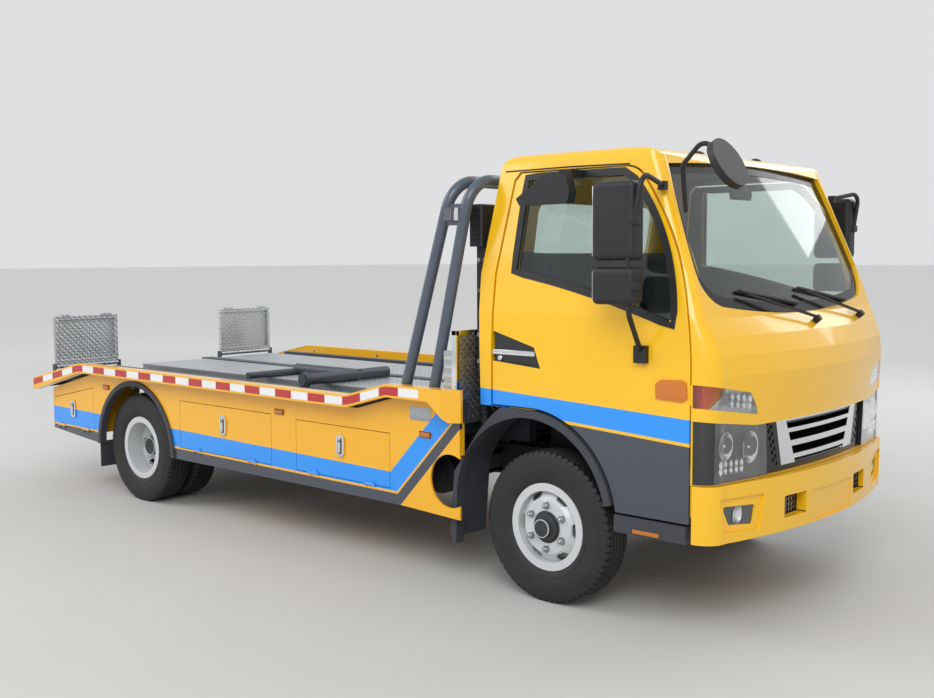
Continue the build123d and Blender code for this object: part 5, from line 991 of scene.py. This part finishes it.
# Mirrors: silvered plates at the backs of the heads, clamps on the tube
mirrorSettings = {
    "heads": ((1.522, 1.689), (1.719, 2.068)),  # bottom and top of each
    "edge": 0.018,  # how far the plate stands inside them
    "plateX": (0.4415, 0.4445),
    "plateY": (1.096, 1.168),
    "clampZ": (1.605, 1.893),
    "clampLow": (0.596, 1.128, -0.020),
    "clampHigh": (0.676, 1.1825, 0.020),
}
for sideName, side in sides:
    shape = bmesh.new()
    (x0, x1), (y0, y1), edge = (mirrorSettings[name] for name in ("plateX", "plateY", "edge"))
    for low, high in mirrorSettings["heads"]:
        addBlock(shape, side, (x0, y0, low + edge), (x1, y1, high - edge), 0.001)
    makePiece(f"mirrorGlass_{sideName}", f"door_{sideName}", [mirrorPlate], shape)
    shape = bmesh.new()
    for z in mirrorSettings["clampZ"]:
        low, high = ((x, y, z + dz) for x, y, dz in (mirrorSettings["clampLow"], mirrorSettings["clampHigh"]))
        addBlock(shape, side, low, high, 0.008)
    makePiece(f"mirrorClamps_{sideName}", f"door_{sideName}", [blackPlastic], shape)

# Wiper blades against the glass
wiperSettings = {
    "pivots": (0.020, 0.610),
    "gap": 0.060,  # from the pivot to the blade's near end
    "blade": 0.52,
    "z": 1.492,
    "rise": 0.075,
    # forward of the glass and above its line, round the blade's section
    "section": ((0.001, -0.003), (0.016, -0.003), (0.022, 0.006), (0.016, 0.015), (0.001, 0.009)),
}
screenSurface = surfaceOf("cab_glass", "cab_shell")
for index, pivotY in enumerate(wiperSettings["pivots"]):
    shape = bmesh.new()
    rows = []
    for i in range(13):
        share = i / 12
        y = pivotY - wiperSettings["gap"] - wiperSettings["blade"] * share
        place = hitFromFront(screenSurface, y, wiperSettings["z"] + wiperSettings["rise"] * share)
        offsets = [Vector((forward, 0, lift)) for forward, lift in wiperSettings["section"]]
        rows.append([shape.verts.new(place + offset) for offset in offsets])
    joinRows(shape, rows)
    shape.faces.new(rows[0])
    shape.faces.new(rows[-1][::-1])
    makePiece(f"wiperBlade_{index}", "chassis", [wiperRubber], shape)

# Interior mirror hung from the windscreen's header
roomMirrorSettings = {
    "outline": (
        (-0.100, -0.022), (0.100, -0.022), (0.110, 0.006), (0.100, 0.030), (-0.100, 0.030), (-0.110, 0.006)
    ),
    "x": 0.535,
    "z": 2.045,
    "thickness": 0.016,
    "stalk": ((0, 0.007), (0.075, 0.007), (0.075, 0)),
    "stalkFoot": (0.010, 0, 0.021),
    "stalkLean": (0.15, 0, 1),
}
shape = bmesh.new()
corner = Vector((frontAxleX + roomMirrorSettings["x"], 0, roomMirrorSettings["z"]))
outline = [corner + Vector((0, y, z)) for y, z in roomMirrorSettings["outline"]]
addPrism(shape, outline, (roomMirrorSettings["thickness"], 0, 0), 0.005)
foot = corner + Vector(roomMirrorSettings["stalkFoot"])
addLathe(shape, roomMirrorSettings["stalk"], foot, roomMirrorSettings["stalkLean"], 16)
makePiece("interiorMirror", "chassis", [blackPlastic], shape)
print("mirrors and wipers fitted")

# Seats: padded covers blown up from the solids
seatSettings = {"voxel": 0.012, "pressure": 4.0, "frames": 20, "cap": 0.020, "shrink": 0.006}


def padSeats(settings):
    pad = bpy.data.objects.new("seatCovers", nodes["seats"].data.copy())
    scene.collection.objects.link(pad)
    remesh = pad.modifiers.new("even", "REMESH")
    remesh.mode = "VOXEL"
    remesh.voxel_size = settings["voxel"]
    graph = bpy.context.evaluated_depsgraph_get()
    even = bpy.data.meshes.new_from_object(pad.evaluated_get(graph))
    pad.modifiers.clear()
    pad.data = even
    shape = bmesh.new()
    shape.from_mesh(even)
    bmesh.ops.smooth_vert(
        shape, verts=shape.verts, factor=0.5, use_axis_x=True, use_axis_y=True, use_axis_z=True
    )
    shape.normal_update()
    for corner in shape.verts:
        corner.co -= corner.normal * settings["shrink"]
    shape.to_mesh(even)
    shape.free()
    resting = [corner.co.copy() for corner in even.vertices]
    cloth = pad.modifiers.new("cloth", "CLOTH")
    cloth.settings.use_pressure = True
    cloth.settings.uniform_pressure_force = settings["pressure"]
    cloth.settings.effector_weights.gravity = 0
    cloth.point_cache.frame_start = 1
    cloth.point_cache.frame_end = settings["frames"]
    for frameNumber in range(1, settings["frames"] + 1):
        scene.frame_set(frameNumber)
    graph = bpy.context.evaluated_depsgraph_get()
    swollen = bpy.data.meshes.new_from_object(pad.evaluated_get(graph))
    pad.modifiers.clear()
    pad.data = swollen
    for corner, before in zip(swollen.vertices, resting):
        step = corner.co - before
        if step.length > settings["cap"]:
            corner.co = before + step.normalized() * settings["cap"]
    scene.frame_set(1)
    for polygon in pad.data.polygons:
        polygon.use_smooth = True
    pad.data.materials.clear()
    pad.data.materials.append(seatCloth)
    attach(pad, "chassis")
    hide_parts("seats")


padSeats(seatSettings)
print("seats padded")

# Headboard edge, bolts and roof trim
headboardSettings = {
    "x": (-0.5315, -0.4985),
    "z": (0.993, 1.3575),
    "half": 1.052,
    "inner": 1.026,  # where the uprights' inner faces stand
    "lip": 1.330,
}
(x0, x1), (z0, z1), half = (headboardSettings[name] for name in ("x", "z", "half"))
shape = bmesh.new()
addBlock(shape, 1, (x0, -half, headboardSettings["lip"]), (x1, half, z1), 0.003)
for side in (-1, 1):
    addBlock(shape, side, (x0, headboardSettings["inner"], z0), (x1, half, z1), 0.003)
makePiece("headboardEdge", "deck", [brightTrim], shape)

boltSettings = {
    # washer and hexagon: distance along the axis and radius
    "section": ((0, 0.013), (0.002, 0.013), (0.002, 0.009), (0.007, 0.009 * 0.9), (0.007, 0)),
    "railY": 1.0531,
    "railPlaces": ((-2.20, 0.925), (-1.40, 0.925), (-0.60, 0.925), (0.20, 0.925), (1.00, 1.01)),
}
shape = bmesh.new()
for side in (-1, 1):
    for x, z in boltSettings["railPlaces"]:
        addLathe(shape, boltSettings["section"], (x, side * boltSettings["railY"], z), (0, -side, 0), 6)
makePiece("railBolts", "deck", [groundSteel], shape)

roofSettings = {
    "gutter": ((-0.315, 2.170), (0.10, 2.173), (0.44, 2.168)),
    "gutterRadius": 0.0035,
    "gutterProud": 0.0015,
    "podX": 0.470,
    "podY": (-0.300, 0.300),
    "podSunk": 0.002,
    "pod": ((0, 0.030), (0.004, 0.030), (0.010, 0.024), (0.016, 0.013), (0.0175, 0)),
}
for sideName, side in sides:
    y = side * (heightOn(cabSideLine, 2.172) + roofSettings["gutterProud"])
    points = [(frontAxleX + x, y, z) for x, z in roofSettings["gutter"]]
    makeTube(f"roofGutter_{sideName}", "chassis", blackPlastic, points, roofSettings["gutterRadius"])
# Two small black pods on the roof's front edge
shape = bmesh.new()
roofSurface = surfaceOf("cab_shell")
for y in roofSettings["podY"]:
    start = Vector((frontAxleX + roofSettings["podX"], y, 3.0))
    hit = roofSurface.ray_cast(start, Vector((0, 0, -1)))[0]
    addLathe(shape, roofSettings["pod"], (hit.x, y, hit.z - roofSettings["podSunk"]), (0, 0, 1), 32)
makePiece("roofPods", "chassis", [blackPlastic], shape)

# Intake behind the cab: louvres, bolts and the hose's bellows
intakeSettings = {
    "louvres": 7,
    "louvrePitch": 0.026,
    "louvreLow": (-0.503, 0.9345, 1.825),
    "louvreHigh": (-0.441, 0.9295, 1.836),
    "boltX": (-0.475, -0.439),
    "boltZ": (1.190, 1.330, 1.560, 1.720),
    "boltY": -0.8995,
    "foot": (-0.458, -0.865, 0.905),
    "bellows": 9,
    "bellowsPitch": 0.021,
    "bellow": ((0.004, 0.0285), (0.008, 0.0322), (0.014, 0.0322), (0.018, 0.0285)),
    "neckRadius": 0.0282,
}
shape = bmesh.new()
for i in range(intakeSettings["louvres"]):
    rise = intakeSettings["louvrePitch"] * i
    low, high = ((x, y, z + rise) for x, y, z in (intakeSettings["louvreLow"], intakeSettings["louvreHigh"]))
    addBlock(shape, -1, low, high, 0.0015)
makePiece("intakeLouvres", "chassis", [blackPlastic], shape)
shape = bmesh.new()
for z in intakeSettings["boltZ"]:
    for x in intakeSettings["boltX"]:
        place = (frontAxleX + x, intakeSettings["boltY"], z)
        addLathe(shape, boltSettings["section"], place, (0, -1, 0), 6)
makePiece("intakeBolts", "chassis", [groundSteel], shape)
shape = bmesh.new()
neck, count, pitch = (intakeSettings[name] for name in ("neckRadius", "bellows", "bellowsPitch"))
bellows = [(i * pitch + rise, radius) for i in range(count) for rise, radius in intakeSettings["bellow"]]
x, y, z = intakeSettings["foot"]
section = [(0.0, neck), *bellows, (count * pitch, neck)]
addLathe(shape, section, (frontAxleX + x, y, z), (0, 0, 1), 32)
makePiece("intakeBellows", "chassis", [wiperRubber], shape, 60)
print("small trim made")
